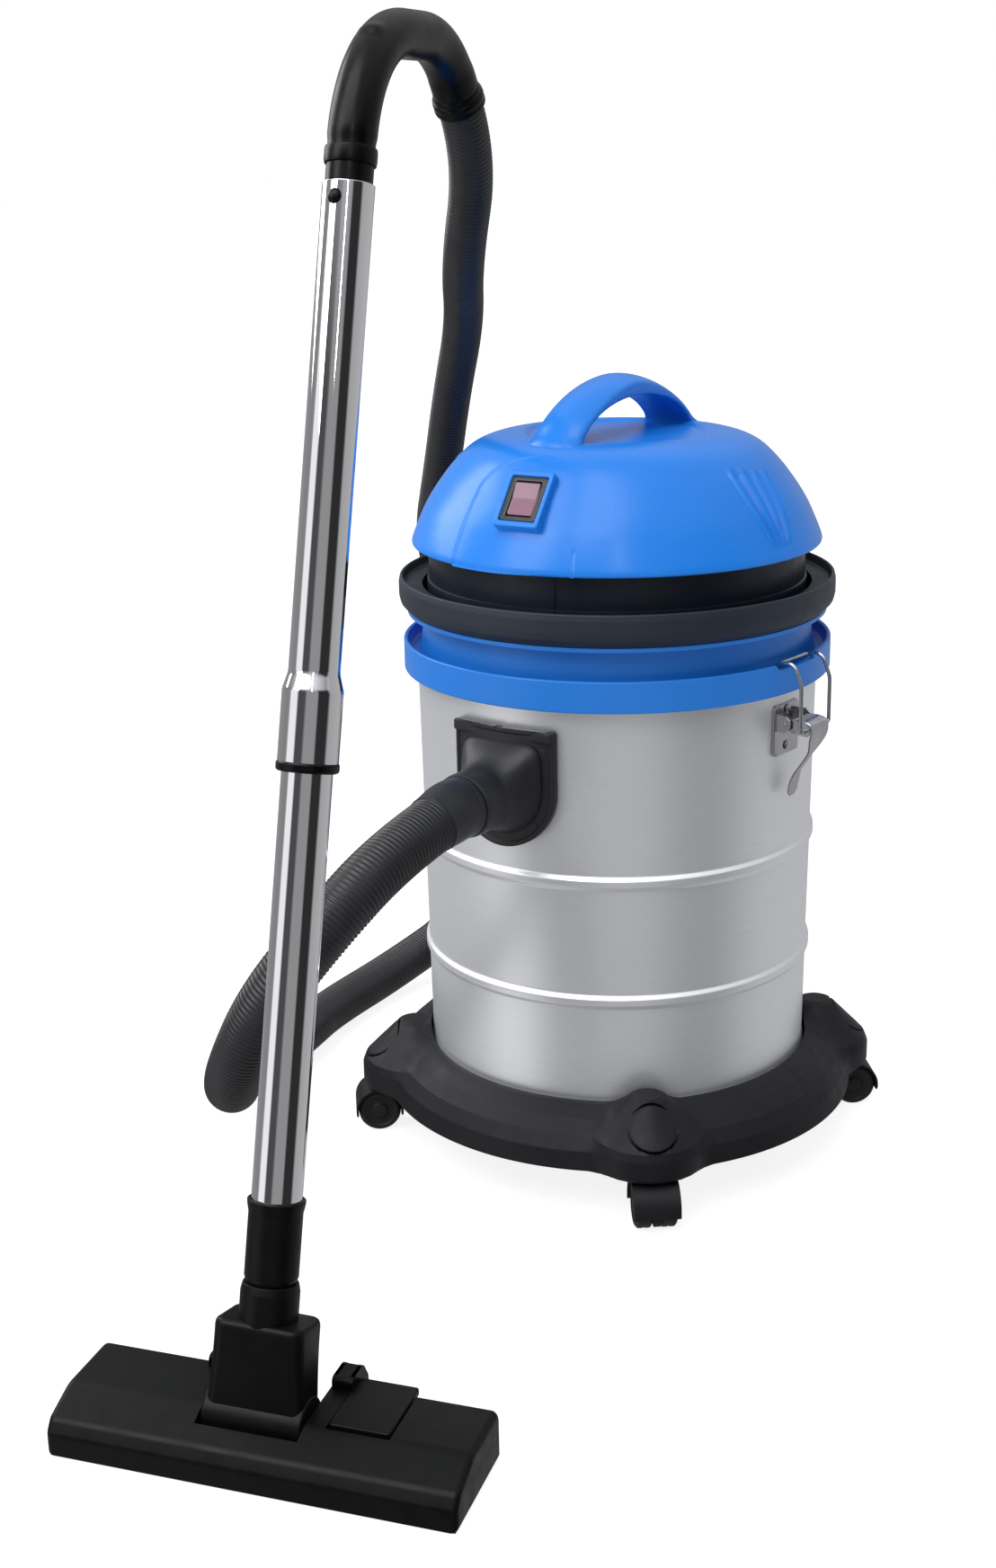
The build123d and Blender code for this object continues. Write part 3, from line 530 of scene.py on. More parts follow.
def set_light(name, kind, at, target, energy, **settings):
    data = bpy.data.lights.new(name, kind)
    data.energy = energy
    for key, value in settings.items():
        setattr(data, key, value)
    lamp = bpy.data.objects.new(name, data)
    bpy.context.scene.collection.objects.link(lamp)
    lamp.location = at
    lamp.rotation_mode = "QUATERNION"
    lamp.rotation_quaternion = (Vector(target) - Vector(at)).to_track_quat("-Z", "Y")


def set_floor():
    floor_finish = bpy.data.materials.new("floor")
    floor_finish.use_nodes = True
    surface = floor_finish.node_tree.nodes["Principled BSDF"]
    surface.inputs["Base Color"].default_value = (0.25, 0.25, 0.25, 1)
    surface.inputs["Roughness"].default_value = 0.9
    surface.inputs["Specular IOR Level"].default_value = 0.1
    surface.inputs["Emission Color"].default_value = (1, 1, 1, 1)
    surface.inputs["Emission Strength"].default_value = 0.86
    side = 30.0
    mesh = bpy.data.meshes.new("floor")
    mesh.from_pydata([(-side, -side, -0.0004), (side, -side, -0.0004), (side, side, -0.0004),
                      (-side, side, -0.0004)], [], [[0, 1, 2, 3]])
    floor = new_object("floor", mesh, floor_finish)
    floor.visible_glossy = False


set_camera()
set_world()
set_light("sun", "SUN", (-1.2, -1.6, 3.2), (0, 0, 0), 2.0, angle=radians(50))
set_light("key", "AREA", (-2.3, -1.4, 2.2), (0.05, 0.1, 0.5), 26, shape="RECTANGLE", size=1.4, size_y=1.4)
set_light("side", "AREA", (-1.77, 1.0, 1.5), (0.07, 0.19, 0.55), 20, shape="RECTANGLE", size=1.2, size_y=1.2)
set_light("strip", "AREA", (0.16, -2.6, 2.2), (0.0757, 0.19, 0.3), 6, shape="RECTANGLE", size=0.12,
          size_y=1.2)
set_floor()
view = bpy.context.scene.view_settings
view.view_transform, view.look, view.exposure, view.gamma = "Standard", "None", 0.0, 1.0


# ---------------------------------------------------------------- hose
HOSE_RADII = (22.6, 20.8, 17.0)
HOSE_ROUTE = [
    (-.0676, -.0380, .3515), (-.0975, -.0862, .3415), (-.1403, -.1308, .303), (-.1873, -.1418, .246),
    (-.2173, -.1168, .181), (-.2333, -.0568, .134), (-.2463, .0482, .108), (-.2763, .1412, .046),
    (-.2593, .2352, .023), (-.2303, .3002, .028), (-.2143, .3682, .023), (-.1593, .4742, .023),
    (-.0873, .5582, .050), (-.0643, .6112, .144), (-.0853, .6142, .245), (-.0813, .5692, .335),
    (-.0873, .5052, .409), (-.1043, .4432, .486), (-.0873, .3922, .567), (-.0723, .3362, .642),
    (-.0543, .2652, .710), (-.0473, .1452, .765), (-.0301, .0810, .8455), (-.0391, .0503, .8841)]
RIB_PITCH = 3.7
RIB_DEPTH = 0.85
RINGS_PER_RIB = 6


def make_hose():
    curve = bpy.data.curves.new("hose_route", "CURVE")
    curve.dimensions = "3D"
    spline = curve.splines.new("NURBS")
    spline.points.add(len(HOSE_ROUTE) - 1)
    for point, at in zip(spline.points, HOSE_ROUTE):
        point.co = (*at, 1)
    spline.order_u = 3
    spline.use_endpoint_u = True
    spline.resolution_u = 40
    route = bpy.data.objects.new("hose_route", curve)
    bpy.context.scene.collection.objects.link(route)
    bpy.context.view_layer.update()
    read = bpy.data.meshes.new_from_object(route.evaluated_get(bpy.context.evaluated_depsgraph_get()))
    path = np.array([v.co for v in read.vertices], float)
    bpy.data.objects.remove(route)
    line = spaced(path * 1000, RIB_PITCH / RINGS_PER_RIB)
    run = run_of(line)
    wave = 0.5 - 0.5 * np.cos(2 * pi * run / RIB_PITCH)
    thick, broad, thin = HOSE_RADII
    radius = (thick - (thick - broad) * ease(run, 250, 600) - (broad - thin) * ease(run, 900, 1900)
              - RIB_DEPTH * wave ** 1.6)
    shape = swept(line, radius, around=36)
    hose = piece("hose_tube", shape, HOSE_BLACK, "machine", ["hose"],
                 place=Matrix.Scale(0.001, 4), crease=75)


make_hose()


# ---------------------------------------------------------------- drum
def wall_r(height):
    """The drum's outer radius: it narrows towards its foot."""
    return 171.5 - 0.0135 * (433 - height)


def make_drum():
    foot = wall_r(78)
    outer = [(0, 68), (foot - 9, 68, 6), (foot - 0.5, 77, 6), (foot + 1.3, 83.5, 3), (wall_r(89), 89, 4)]
    for z in (177, 281):
        r = wall_r(z)
        outer += [(r, z - 6.2, 2.5), (r + 2.9, z - 2.6, 2.2), (r + 2.9, z + 2.6, 2.2), (r, z + 6.2, 2.5)]
    top = wall_r(429)
    outer += [(top, 428.6, 1.2), (top + 3, 429.8, 1.4), (top + 3, 433, 1.4), (top - 1, 433, 0.4)]
    inner = []
    for z in (281, 177):
        r = wall_r(z) - 1
        inner += [(r, z + 6.2, 2), (r + 2.7, z + 2.4, 2), (r + 2.7, z - 2.4, 2), (r, z - 6.2, 2)]
    inner += [(foot - 1.2, 78, 5), (foot - 9.4, 69, 5), (0, 69)]
    made = piece("drum_wall", lathe(rounded(outer + inner), 320), DRUM_STEEL, "machine",
                 ["drum"])
    hole = upright(lathe(rounded([(0, 0), (26.6, 0), (26.6, 60), (0, 60)]), 48), (0, -140, INLET_Z),
                   (0, -1, 0))
    cut(made, hole, place=facing(INLET))
    smoothed(made.data)


make_drum()


# ---------------------------------------------------------------- wand tubes
def down(profile, steps=96, warp=None):
    """A lathe down the wand: its outline is given as (radius, distance below the tube's top)."""
    flipped = np.array(profile)
    flipped[:, 1] *= -1
    return lathe(flipped, steps, warp)


def make_wand():
    outer = [(17.5, 0, 0.5), (17.5, 321, 14), (20.8, 332.5, 8), (20.8, 381, 0.5)]
    inner = [(18.2, 381, 0.3), (18.2, 334), (16.5, 325), (16.5, 0, 0.3)]
    tube = piece("upper_wand", down(rounded(outer + inner), 128), CHROME, "machine",
                 ["upper_tube"], place=WAND)
    hole = upright(lathe(rounded([(0, 0), (5.1, 0), (5.1, 9), (0, 9)]), 48), (-2.4, -13, -11), (0, -1, 0))
    cut(tube, hole, place=WAND)
    smoothed(tube.data)
    piece("lower_wand", down(rounded([(17.5, 335, 0.4), (17.5, 718, 0.4), (16.5, 718), (16.5, 335)]), 128),
          CHROME, "machine", ["lower_tube"], place=WAND)
    piece("wand_ring", down(rounded([(20.9, 380.6, 0.6), (21.6, 382, 0.9), (21.5, 386, 1.2),
                                     (20.2, 387.4, 0.8), (17.6, 387.4), (17.6, 380.6)]), 96),
          HANDLE_BLACK, "machine", ["socket_ring"], place=WAND)
    dome = lathe(rounded([(0, 0), (4.7, 0), (4.7, 4.2, 1.6), (2.6, 5.6, 2), (0, 6.0)]), 48)
    piece("snap_button", upright(dome, (-2.4, -13.5, -11), (0, -1, 0)), HANDLE_BLACK, "spring_button",
          ["spring_button"], place=WAND)


make_wand()


# ---------------------------------------------------------------- bent handle
def make_handle():
    start = TUBE_TOP - RISE * 1.0
    side = REACH.cross(Vector((0, 0, 1))).normalized()
    corners = [(*start, 0), (*(TUBE_TOP + RISE * 100), 95), (*(TUBE_TOP + REACH * 176 + Vector((0, 0, 97))), 84),
               (*MOUTH, 0)]
    line = round_path(corners, 2.0)
    run = run_of(line)
    total = run[-1]
    radius = (15.9 + 0.0 * run + 0.75 * ease(run, 26, 34) + 0.15 * ease(run, 60, 130)
              - 2.2 * (1 - ease(run, 0, 1.0)) * 0 + 0.5 * ease(run, total - 22, total - 12))
    radius[-1] -= 0.6
    shape = swept(line, radius, around=56, side=side)
    points = shape[0]
    nub_at = np.interp(104.0, run, np.arange(len(run)))
    k = int(nub_at)
    tangent, normal, across = tube_frames(line, side)
    rings = points.reshape(len(line), 56, 3)
    outward = normal[k] if normal[k][1] < 0 else -normal[k]
    offset = rings - line[:, None]
    lean = np.clip((offset @ outward) / radius[:, None], 0, 1)
    lump = 1.7 * ease(lean, 0.72, 0.98) * (ease(run, 96, 103) * (1 - ease(run, 104, 112)))[:, None]
    rings += lump[..., None] * outward
    piece("handle_bend", (rings.reshape(-1, 3), shape[1]), HANDLE_BLACK, "machine",
          ["bent_handle"])
    cuff = rounded([(13.4, -0.5), (17.3, -0.5, 0.5), (17.9, 1.5, 1), (17.9, 3.2, 1), (19.1, 4.6, 0.8),
                    (19.5, 7, 0.8), (19.2, 9, 0.5), (19.2, 10, 0.5), (19.5, 11.5, 0.6), (19.4, 14, 0.8),
                    (13.4, 14)])
    piece("hose_end", lathe(cuff, 96), HANDLE_BLACK, "machine", ["handle_cuff"],
          place=frame_of(MOUTH, MOUTH_DOWN, (1, 0, 0)))
    band = [(16.4, 12.4, 0.3), (17.3, 12.4, 0.6), (17.7, 15), (17.7, 21), (17.3, 23.6, 0.6), (16.4, 23.6, 0.3)]
    piece("air_collar", lathe(rounded(band), 96), HANDLE_BLACK, "air_slide",
          ["air_slide"], place=WAND)


make_handle()


# ---------------------------------------------------------------- floor nozzle
def make_neck_sleeve():
    outer = [(17.55, 678), (18.6, 677.6, 0.5), (20.2, 678.4, 0.8), (19.9, 681.5, 1.4), (18.75, 687, 4),
             (18.75, 731, 3), (17.2, 735.2, 1), (16.4, 736), (16.4, 765), (14, 765), (14, 719), (17.55, 718)]
    piece("neck_sleeve", down(rounded(outer), 96), NOZZLE_BLACK, "machine",
          ["nozzle_neck"], place=WAND)


def make_elbow():
    """Swivel collar, the block under it and the tilt barrel, in one black moulding."""
    rings = []
    for level, inset in ((760.2, 4.0), (760.6, 2.4), (761.6, 1.1), (763.2, 0.35), (765.5, 0.0)):
        rings.append((level, 33.0, 21.0, 9.0, inset))
    for f in np.linspace(0, 1, 14)[1:]:
        level = 765.5 + (826 - 765.5) * f
        rings.append((level, 33 + 4 * f ** 1.6, 21 - 4.5 * f, 9 - 1.5 * f, 0))
    rings.append((829.5, 37, 15.6, 7, 0.8))
    rings.append((831, 37, 15.2, 6.5, 2.4))
    stack = []
    for level, half_x, half_y, corner, inset in rings:
        flat = oblong(half_x, half_y, corner, inset, arc=8)
        stack.append(np.column_stack([flat, np.full(len(flat), -level)]))
    block = loft(stack)
    collar = down(rounded([(16.5, 735.4), (19.2, 735.4, 0.8), (20.5, 741, 5), (20.5, 763), (16.5, 763)]), 96)
    body = piece("swivel_elbow", joined(block, collar), NOZZLE_BLACK, "elbow",
                 ["nozzle_elbow"], place=WAND)
    barrel = rounded([(0, -37), (20, -37, 2), (20, 37, 2), (0, 37)])
    pins = rounded([(0, -42), (4, -42, 0.5), (4, 42, 0.5), (0, 42)])
    across = upright(joined(lathe(barrel, 96), lathe(pins, 32)), (-8, 46.8, 28), (1, 0, 0))
    piece("tilt_barrel", across, NOZZLE_BLACK, "elbow", place=NOZZLE)
    return body


def nozzle_rings(half, profile, edge):
    """The body's section, drawn in near both ends so that they are rounded."""
    rings = []
    stations = [(-half + edge * (1 - cos(t)), edge * (1 - sin(t))) for t in np.linspace(0, pi / 2, 6)]
    stations += [(-half + 3 * edge, 0), (half - 3 * edge, 0)]
    stations += [(-x, inset) for x, inset in stations[5::-1]]
    centre = profile.mean(0)
    for x, inset in stations:
        span = profile - centre
        size = np.abs(span).max(0)
        flat = centre + span * (1 - inset / size)
        flat[:, 1] = np.maximum(flat[:, 1], profile[:, 1].min())
        rings.append(np.column_stack([np.full(len(flat), x), flat]))
    return loft(rings)


def make_nozzle():
    profile = rounded([(0, 0.4, 1.2), (0, 17, 7), (6, 26.5, 9), (34, 38, 22), (86, 38, 3), (90, 34, 3),
                       (90, 0.4, 1.0)], step=0.2)
    body = new_object("nozzle_shell", mesh_of(nozzle_rings(150, profile, 5), NOZZLE), NOZZLE_BLACK)
    cutters = [side_plate([(120, 7.5), (20.8, 7.5, 18.6), (20.8, 60), (120, 60)], -46.0, 30.0),
               box_shape((45.0, 91.0), (34, 100), (30, 60)),
               box_shape((-126, 126), (16, 34), (-5, 15)),
               box_shape((-141, 141), (6.8, 12.2), (-5, 20)), box_shape((-141, 141), (72.8, 78.2), (-5, 20))]
    for x in (-54.5, 39):
        cutters.append(box_shape((x - 4.6, x + 4.6), (80, 120), (-5, 31)))
    cut(body, *cutters, place=NOZZLE)
    lugs = []
    for x in (-54.5, 39):
        for low, high in ((x - 7.5, x - 4.6), (x + 4.6, x + 7.5)):
            lugs.append(side_plate([(78, 8, 1), (108, 8, 6), (108, 34, 5), (100, 47, 5), (78, 47, 4)],
                                   low, high))
        lugs.append(side_plate([(78, 31, 0.5), (107, 31, 2), (107, 35, 3), (99.5, 47, 5), (78, 47, 4)],
                               x - 7.5, x + 7.5))
    for number, lug in enumerate(lugs):
        tool = joined(lug)
        cut(body, tool, place=NOZZLE, operation="UNION")
    bevelled(body, 1.0, 3, 40)
    body.data.materials.clear()
    body.data.materials.append(NOZZLE_BLACK)
    settle(body, "nozzle", ["nozzle_body"])
    plate = moved(slab(22, 29, 2.5, 34.5, 39.7, 1.2), Matrix.Translation((68, 66, 0)))
    piece("rocking_pedal", plate, NOZZLE_BLACK, "pedal", ["nozzle_pedal"], place=NOZZLE)
    for side, x in (("left", -54.5), ("right", 39)):
        wheel = rounded([(0, -6.5), (2, -6.5), (2, -4), (9, -3.6, 0.5), (10.5, -4, 0.5), (13.2, -4, 1.4),
                         (14, -2.4, 1.2), (14, 2.4, 1.2), (13.2, 4, 1.4), (10.5, 4, 0.5), (9, 3.6, 0.5),
                         (2, 4), (2, 6.5), (0, 6.5)])
        piece(f"roller_{side}", upright(lathe(wheel, 64), (x, 96, 14), (1, 0, 0)), TREAD,
              f"roller_{side}", [f"nozzle_roller_{side}"], place=NOZZLE)


def side_plate(corners, low, high):
    """A flat plate across X between low and high, from (y, z, radius) corners."""
    flat = rounded(corners, beside=0.3)
    rings = [np.column_stack([np.full(len(flat), x), flat]) for x in (low, high)]
    return loft(rings)


make_neck_sleeve()
make_elbow()
make_nozzle()


# ---------------------------------------------------------------- head
def make_rim():
    profile = rounded([
        (58, 441, 0.6), (167, 441), (167, 427, 0.4), (170, 427, 0.4), (170, 436), (179, 436), (179, 427, 0.4),
        (183, 427, 1.4), (183, 453, 2.2), (179.5, 453, 1.4), (178.3, 441, 3.5), (168.4, 441, 3.5),
        (165.4, 475, 2), (179, 475.5, 0.5), (179, 479, 0.5), (150, 479), (150, 475), (161.5, 472, 1),
        (164, 445, 1), (58, 445, 0.6)])

    def seats(azimuth, r, z):
        for latch in LATCHES.values():
            away = np.abs((azimuth - latch + 180) % 360 - 180) * np.radians(1) * 181
            dip = (1 - ease(away, 26, 30)) * (r > 171.5) * (z > 443) * (z < 454)
            z = z - dip * np.maximum(0, z - 448.2)
        return r, z

    piece("rim_band", lathe(profile, 720, seats), BLUE_DEEP, "head", ["rim"])


def make_bumper():
    profile = rounded([(166, 479.2), (178.6, 479.2, 1.5), (184.7, 485.2, 3.5), (186, 491, 4), (186, 501.5, 3.5),
                       (184.9, 506.4, 1.3), (182.4, 507, 1.0), (181.0, 499.3, 1.8), (166, 499.2)])
    piece("bumper_ring", lathe(profile, 256), BUMPER_DARK, "head", ["bumper"])


def shell(outer, inner, steps, hole=None, warp=None, poles=(False, False)):
    """A lathe wall between two outlines of equal length, from low to high, with holes cut through both."""
    count = len(outer)
    a = np.linspace(0, 2 * pi, steps, endpoint=False)[:, None]
    sides = []
    for outline, is_outer in ((outer, True), (inner, False)):
        r, z = outline[None, :, 0] + 0 * a, outline[None, :, 1] + 0 * a
        if warp and is_outer:
            r, z = warp(np.degrees(a) + 0 * r, r, z)
        sides.append(np.stack([r * np.sin(a), -r * np.cos(a), z], -1).reshape(-1, 3))
    size = steps * count
    cells = np.array(quads(steps, count, True, False))
    if hole is None:
        keep = np.ones(len(cells), bool)
    else:
        centre = sides[0][cells].mean(1)
        keep = ~hole(centre)
    faces = cells[keep].tolist() + (cells[keep] + size)[:, ::-1].tolist()
    border = {}
    for cell in cells[keep].tolist():
        for k in range(4):
            edge = (cell[k], cell[(k + 1) % 4])
            if edge[::-1] in border:
                del border[edge[::-1]]
            else:
                border[edge] = True
    for first, second in border:
        column = first % count
        if column == second % count and ((column == 0 and poles[0]) or (column == count - 1 and poles[1])):
            continue
        faces.append([second, first, first + size, second + size])
    return np.concatenate(sides), faces


def make_neck():
    rise = [479.2, 480, 490, 503.6, 504.4, 506, 515, 525, 532.5, 533, 535.5, 538, 538.5, 543, 547.2, 548]
    outer = np.array([(161.4 if z < 504 else 160.0, z) for z in rise])
    inner = np.array([(157.0, z) for z in rise])

    def slots(centre):
        azimuth = np.degrees(np.arctan2(centre[:, 0], -centre[:, 1]))
        away = np.abs((azimuth + 15) % 30 - 15) * np.radians(1) * 160
        return (away < 14) & (centre[:, 2] > 533) & (centre[:, 2] < 538)

    def seams(azimuth, r, z):
        for seam in (-17.2, 162.8):
            away = np.abs((azimuth - seam + 180) % 360 - 180) * np.radians(1) * 160
            r = r - 1.1 * (1 - ease(away, 0.5, 1.1))
        return r, z

    flange = lathe(rounded([(147, 545), (157.5, 545), (157.5, 548), (147, 548)]), 96)
    foot = lathe(rounded([(151, 479.2), (157.5, 479.2), (157.5, 482.2), (151, 482.2)]), 96)
    piece("neck_wall", joined(shell(outer, inner, 1440, slots, seams), flange, foot), NECK_DARK, "head",
          ["neck"])


DOME = [(170.4, 533.2), (172.2, 533.2), (173.4, 534.4), (173.6, 536.5), (172.2, 541), (167, 553.5), (160, 568),
        (150, 583.5), (137, 600), (122, 614), (105, 621.5), (82, 625), (45, 626), (0, 626)]


def smooth_line(points, step):
    """A smooth curve through points (Catmull-Rom), with points about a step apart."""
    p = np.array(points, float)
    p = np.vstack([2 * p[0] - p[1], p, 2 * p[-1] - p[-2]])
    t = np.linspace(0, 1, 24, endpoint=False)[:, None]
    parts = []
    for k in range(1, len(p) - 2):
        a, b, c, d = p[k - 1:k + 3]
        parts.append(0.5 * (2 * b + (c - a) * t + (2 * a - 5 * b + 4 * c - d) * t ** 2
                            + (3 * b - a - 3 * c + d) * t ** 3))
    line = np.vstack([*parts, p[-2:-1]])
    run = np.concatenate([[0], np.cumsum(np.linalg.norm(np.diff(line, axis=0), axis=1))])
    at = np.linspace(0, run[-1], int(run[-1] / step) + 1)
    return np.column_stack([np.interp(at, run, line[:, k]) for k in range(2)])


HANDLE_TURN = 56.3


def dome_relief(azimuth, r, z):
    """How far the dome's skin stands in, in millimetres: louvres, the switch's panel, the scoop and seams."""
    depth = np.zeros_like(r)
    for flip in (1, -1):
        turned = azimuth if flip == 1 else -(azimuth + 62)
        turned = (turned + 180) % 360 - 180
        down_run = np.clip((609 - z) / (609 - 540), -0.2, 1.2)
        first = 40.0 + 8.0 * down_run - 0.9 * np.sin(pi * np.clip(down_run, 0, 1))
        last = 63.0 - 8.0 * down_run + 0.8 * np.sin(pi * np.clip(down_run, 0, 1))
        t = (turned - first) / (last - first)
        ribs = np.where((t > 0) & (t < 1), np.sin(2 * pi * 4 * t), 0)
        fade = ease(down_run, 0.0 + 0.12 * t, 0.14 + 0.12 * t) * (1 - ease(down_run, 0.82, 1.0))
        depth -= 2.2 * ribs * fade
    across = r * np.sin(np.radians(azimuth - SWITCH_AZIMUTH))
    near = np.cos(np.radians(azimuth - SWITCH_AZIMUTH)) > 0.5
    centre = -6 + 0.05 * (z - 541)
    half = 56 - 0.12 * (z - 541)
    arch = np.sqrt(((across - centre) / half) ** 2 + (np.clip((z - 592) / 26, 0, None)) ** 2)
    step = 1 - ease(arch, 0.97, 1.01)
    depth += np.where(near, 1.1 * step * (1 - ease(across, -30, 34)), 0)
    a = np.radians(azimuth - HANDLE_TURN)
    along, side = r * np.sin(a), r * np.cos(a)
    edge = (np.abs(along) / 87) ** 1.6 + (np.abs(side) / 81) ** 1.6
    depth += (3.4 * (1 - ease(edge, 0.88, 1.03)) + 2.4 * (1 - ease(edge, 0, 0.95))) * (z > 600)
    for seam, low, high in ((-11.4, 530, 556), (168.6, 530, 556)):
        away = np.abs((azimuth - seam + 180) % 360 - 180) * np.radians(1) * r
        depth += 0.5 * (1 - ease(away, 0.5, 1.6)) * (z > low) * (1 - ease(z, high - 6, high))
    return depth


def make_dome():
    outer = smooth_line(DOME, 1.15)
    outer[-1, 0] = 0
    slope = np.gradient(outer, axis=0)
    slope /= np.linalg.norm(slope, axis=1)[:, None]
    inward = np.column_stack([-slope[:, 1], slope[:, 0]])
    inward[inward @ np.array((1, 1)) > 0] *= -1
    inner = outer + inward * 3.0
    inner[:, 0] = np.maximum(inner[:, 0], 0)
    inner[:4, 1] = outer[:4, 1]
    inner[:4, 0] = 169.6
    inner[-1, 0] = 0

    def pressed(azimuth, r, z):
        depth = dome_relief(azimuth, r, z)
        return np.where(r > 0, r + inward[None, :, 0] * depth * (r > 0.5), 0), z + inward[None, :, 1] * depth

    inverse = np.linalg.inv(np.array(DRUM.inverted() @ SWITCH))

    def switch_hole(centre):
        local = centre @ inverse[:3, :3].T + inverse[:3, 3]
        return (np.abs(local[:, 0]) < 18) & (np.abs(local[:, 2]) < 21.5) & (np.abs(local[:, 1]) < 25)

    walls = shell(outer, inner, 1080, switch_hole, pressed, poles=(False, True))
    ledge = lathe(rounded([(147, 548), (166, 548), (165, 551), (147, 551)]), 96)
    piece("dome_shell", joined(walls, ledge), BLUE, "head", ["dome"], crease=50)


def bow(span, rise, power, low, turn):
    """A point of the handle's arch, (along, up), at a turn from one foot to the other."""
    c, s_ = cos(turn), sin(turn)
    return np.array((span * (abs(c) ** power) * (1 if c > 0 else -1),
                     low + rise * (abs(s_) ** power) * (1 if s_ > 0 else -1)))


def make_carry_handle():
    """A broad band over the crown with a crowned outer face, flared into the dome at its feet."""
    half, crown = 23.0, 6.6
    rings = []
    turns = np.radians(np.linspace(-6, 186, 97))
    outer = np.array([bow(96.6, 59.5, 1.21, 605.5, t) for t in turns])
    inner = np.array([bow(87.1, 49.3, 0.95, 605.5, t) for t in turns])
    slope = np.gradient(outer, axis=0)
    slope /= np.linalg.norm(slope, axis=1)[:, None]
    away = np.column_stack([slope[:, 1], -slope[:, 0]])
    across = np.linspace(1, -1, 21) * (half - 0.9)
    for low, high, out in zip(inner, outer, away):
        thick = np.linalg.norm(high - low)
        flare = 2.4 * (1 - ease(high[1], 619, 632)) ** 2
        side = [(half - 2.0, 0), (half - 0.7, 0.3), (half - 0.1, 1.3), (half, thick / 2), (half, thick - 0.9),
                (half - 0.3, thick - 0.1)]
        top = [(w, thick + 0.45 + crown * (1 - (w / half) ** 2) ** 0.9) for w in across]
        outline = side + top + [(-w, d) for w, d in side[::-1]]
        ring = []
        for w, d in outline:
            at = low + (high - low) * min(d, thick) / thick + out * (max(0, d - thick) + flare * (d > thick / 2))
            ring.append((at[0], w * (1 + flare / half), at[1]))
        rings.append(np.array(ring))
    place = DRUM @ Matrix.Rotation(radians(HANDLE_TURN), 4, "Z")
    piece("carry_bow", loft(rings), BLUE, "head", ["carry_handle"], place=place, crease=60)


def framed(outer_half, inner_half, front, back, edge, radii):
    """A rectangular ring whose wall runs from back to front along -Y."""
    wide = outer_half[0] - inner_half[0]
    profile = rounded([(0, back), (0, front, edge), (wide, front, edge), (wide, back)], beside=0.3)
    rings = []
    for inset, y in profile:
        f = inset / wide
        flat = oblong(*outer_half, radii[0], 0, 5) * (1 - f) + oblong(*inner_half, radii[1], 0, 5) * f
        rings.append(np.column_stack([flat[:, 0], np.full(len(flat), y), flat[:, 1]]))
    return loft(rings, closed=True)


def make_switch():
    bezel = framed((20.5, 25.0), (16.5, 20.0), -6.8, 6.4, 1.4, (2.6, 1.6))
    piece("switch_surround", bezel, BLUE, "head", ["switch_bezel"], place=SWITCH)
    case = framed((16.2, 19.7), (11.5, 15.5), -6.0, 15.0, 1.2, (1.8, 1.2))
    floor = box_shape((-12, 12), (5.2, 9), (-16, 16))
    piece("switch_case", joined(case, floor), SWITCH_BLACK, "head", ["switch_frame"],
          place=SWITCH)
    flat = rounded([(-6.8, 14.2, 0.8), (-4.8, 0.0, 12), (-5.1, -14.2, 0.8), (-0.8, -14.2), (-0.8, 14.2)],
                   beside=0.4)
    rings = []
    for x, inset in ((-11, 0.9), (-10.7, 0.3), (-10.1, 0), (10.1, 0), (10.7, 0.3), (11, 0.9)):
        centre = flat.mean(0)
        drawn = centre + (flat - centre) * (1 - inset / 12)
        rings.append(np.column_stack([np.full(len(flat), x), drawn]))
    piece("switch_lens", loft(rings), RED_LENS, "rocker", ["rocker"], place=SWITCH)


def make_gland():
    profile = rounded([(3.8, 152), (7.5, 152), (7.5, 163), (11, 163, 1), (11, 169, 2), (7.8, 172, 1.5),
                       (7.0, 174, 0.6), (7.6, 175.2, 0.6), (6.6, 177, 0.6), (7.2, 178.4, 0.6),
                       (6.2, 180.2, 0.6), (6.8, 181.6, 0.6), (5.8, 183.4, 0.6), (6.2, 186, 0.8), (3.8, 186)])
    gland = upright(lathe(profile, 64), (0, 0, 562), (0, -1, 0))
    piece("cord_boot", gland, BLACK, "head", ["cord_gland"], place=facing(150))


make_rim()
make_bumper()
make_neck()
make_dome()
make_carry_handle()
make_switch()
make_gland()


# ---------------------------------------------------------------- inlet
def flange_outline(inset, half=48.0, top=53.0, corner=5.0, arc=28):
    """The D of the inlet flange about its pipe: square above and round below."""
    half, top, corner = half - inset, top - inset, max(0.4, corner - inset)
    lower = np.linspace(pi, 2 * pi, arc + 1)
    points = [(half * cos(t), half * sin(t)) for t in lower]
    for t in np.linspace(0, pi / 2, 6):
        points.append((half - corner + corner * cos(t), top - corner + corner * sin(t)))
    for x in np.linspace(half - corner, -half + corner, 12)[1:-1]:
        points.append((x, top))
    for t in np.linspace(pi / 2, pi, 6):
        points.append((-half + corner + corner * cos(t), top - corner + corner * sin(t)))
    return np.array(points)


def on_drum(shape, base=173.4):
    """Bends a shape drawn as (x, height, z) on to the drum's wall: its height goes outwards."""
    points = np.array(shape[0])
    x, height, z = points.T
    out = np.sqrt(np.maximum((base + height) ** 2 - x ** 2, 1))
    return np.column_stack([x, -out, z]), shape[1]


def standing(shape):
    """Swaps a stacked shape's axes, so that its height becomes the distance off the wall."""
    points = shape[0]
    return np.column_stack([points[:, 0], points[:, 2], points[:, 1] + INLET_Z]), shape[1]


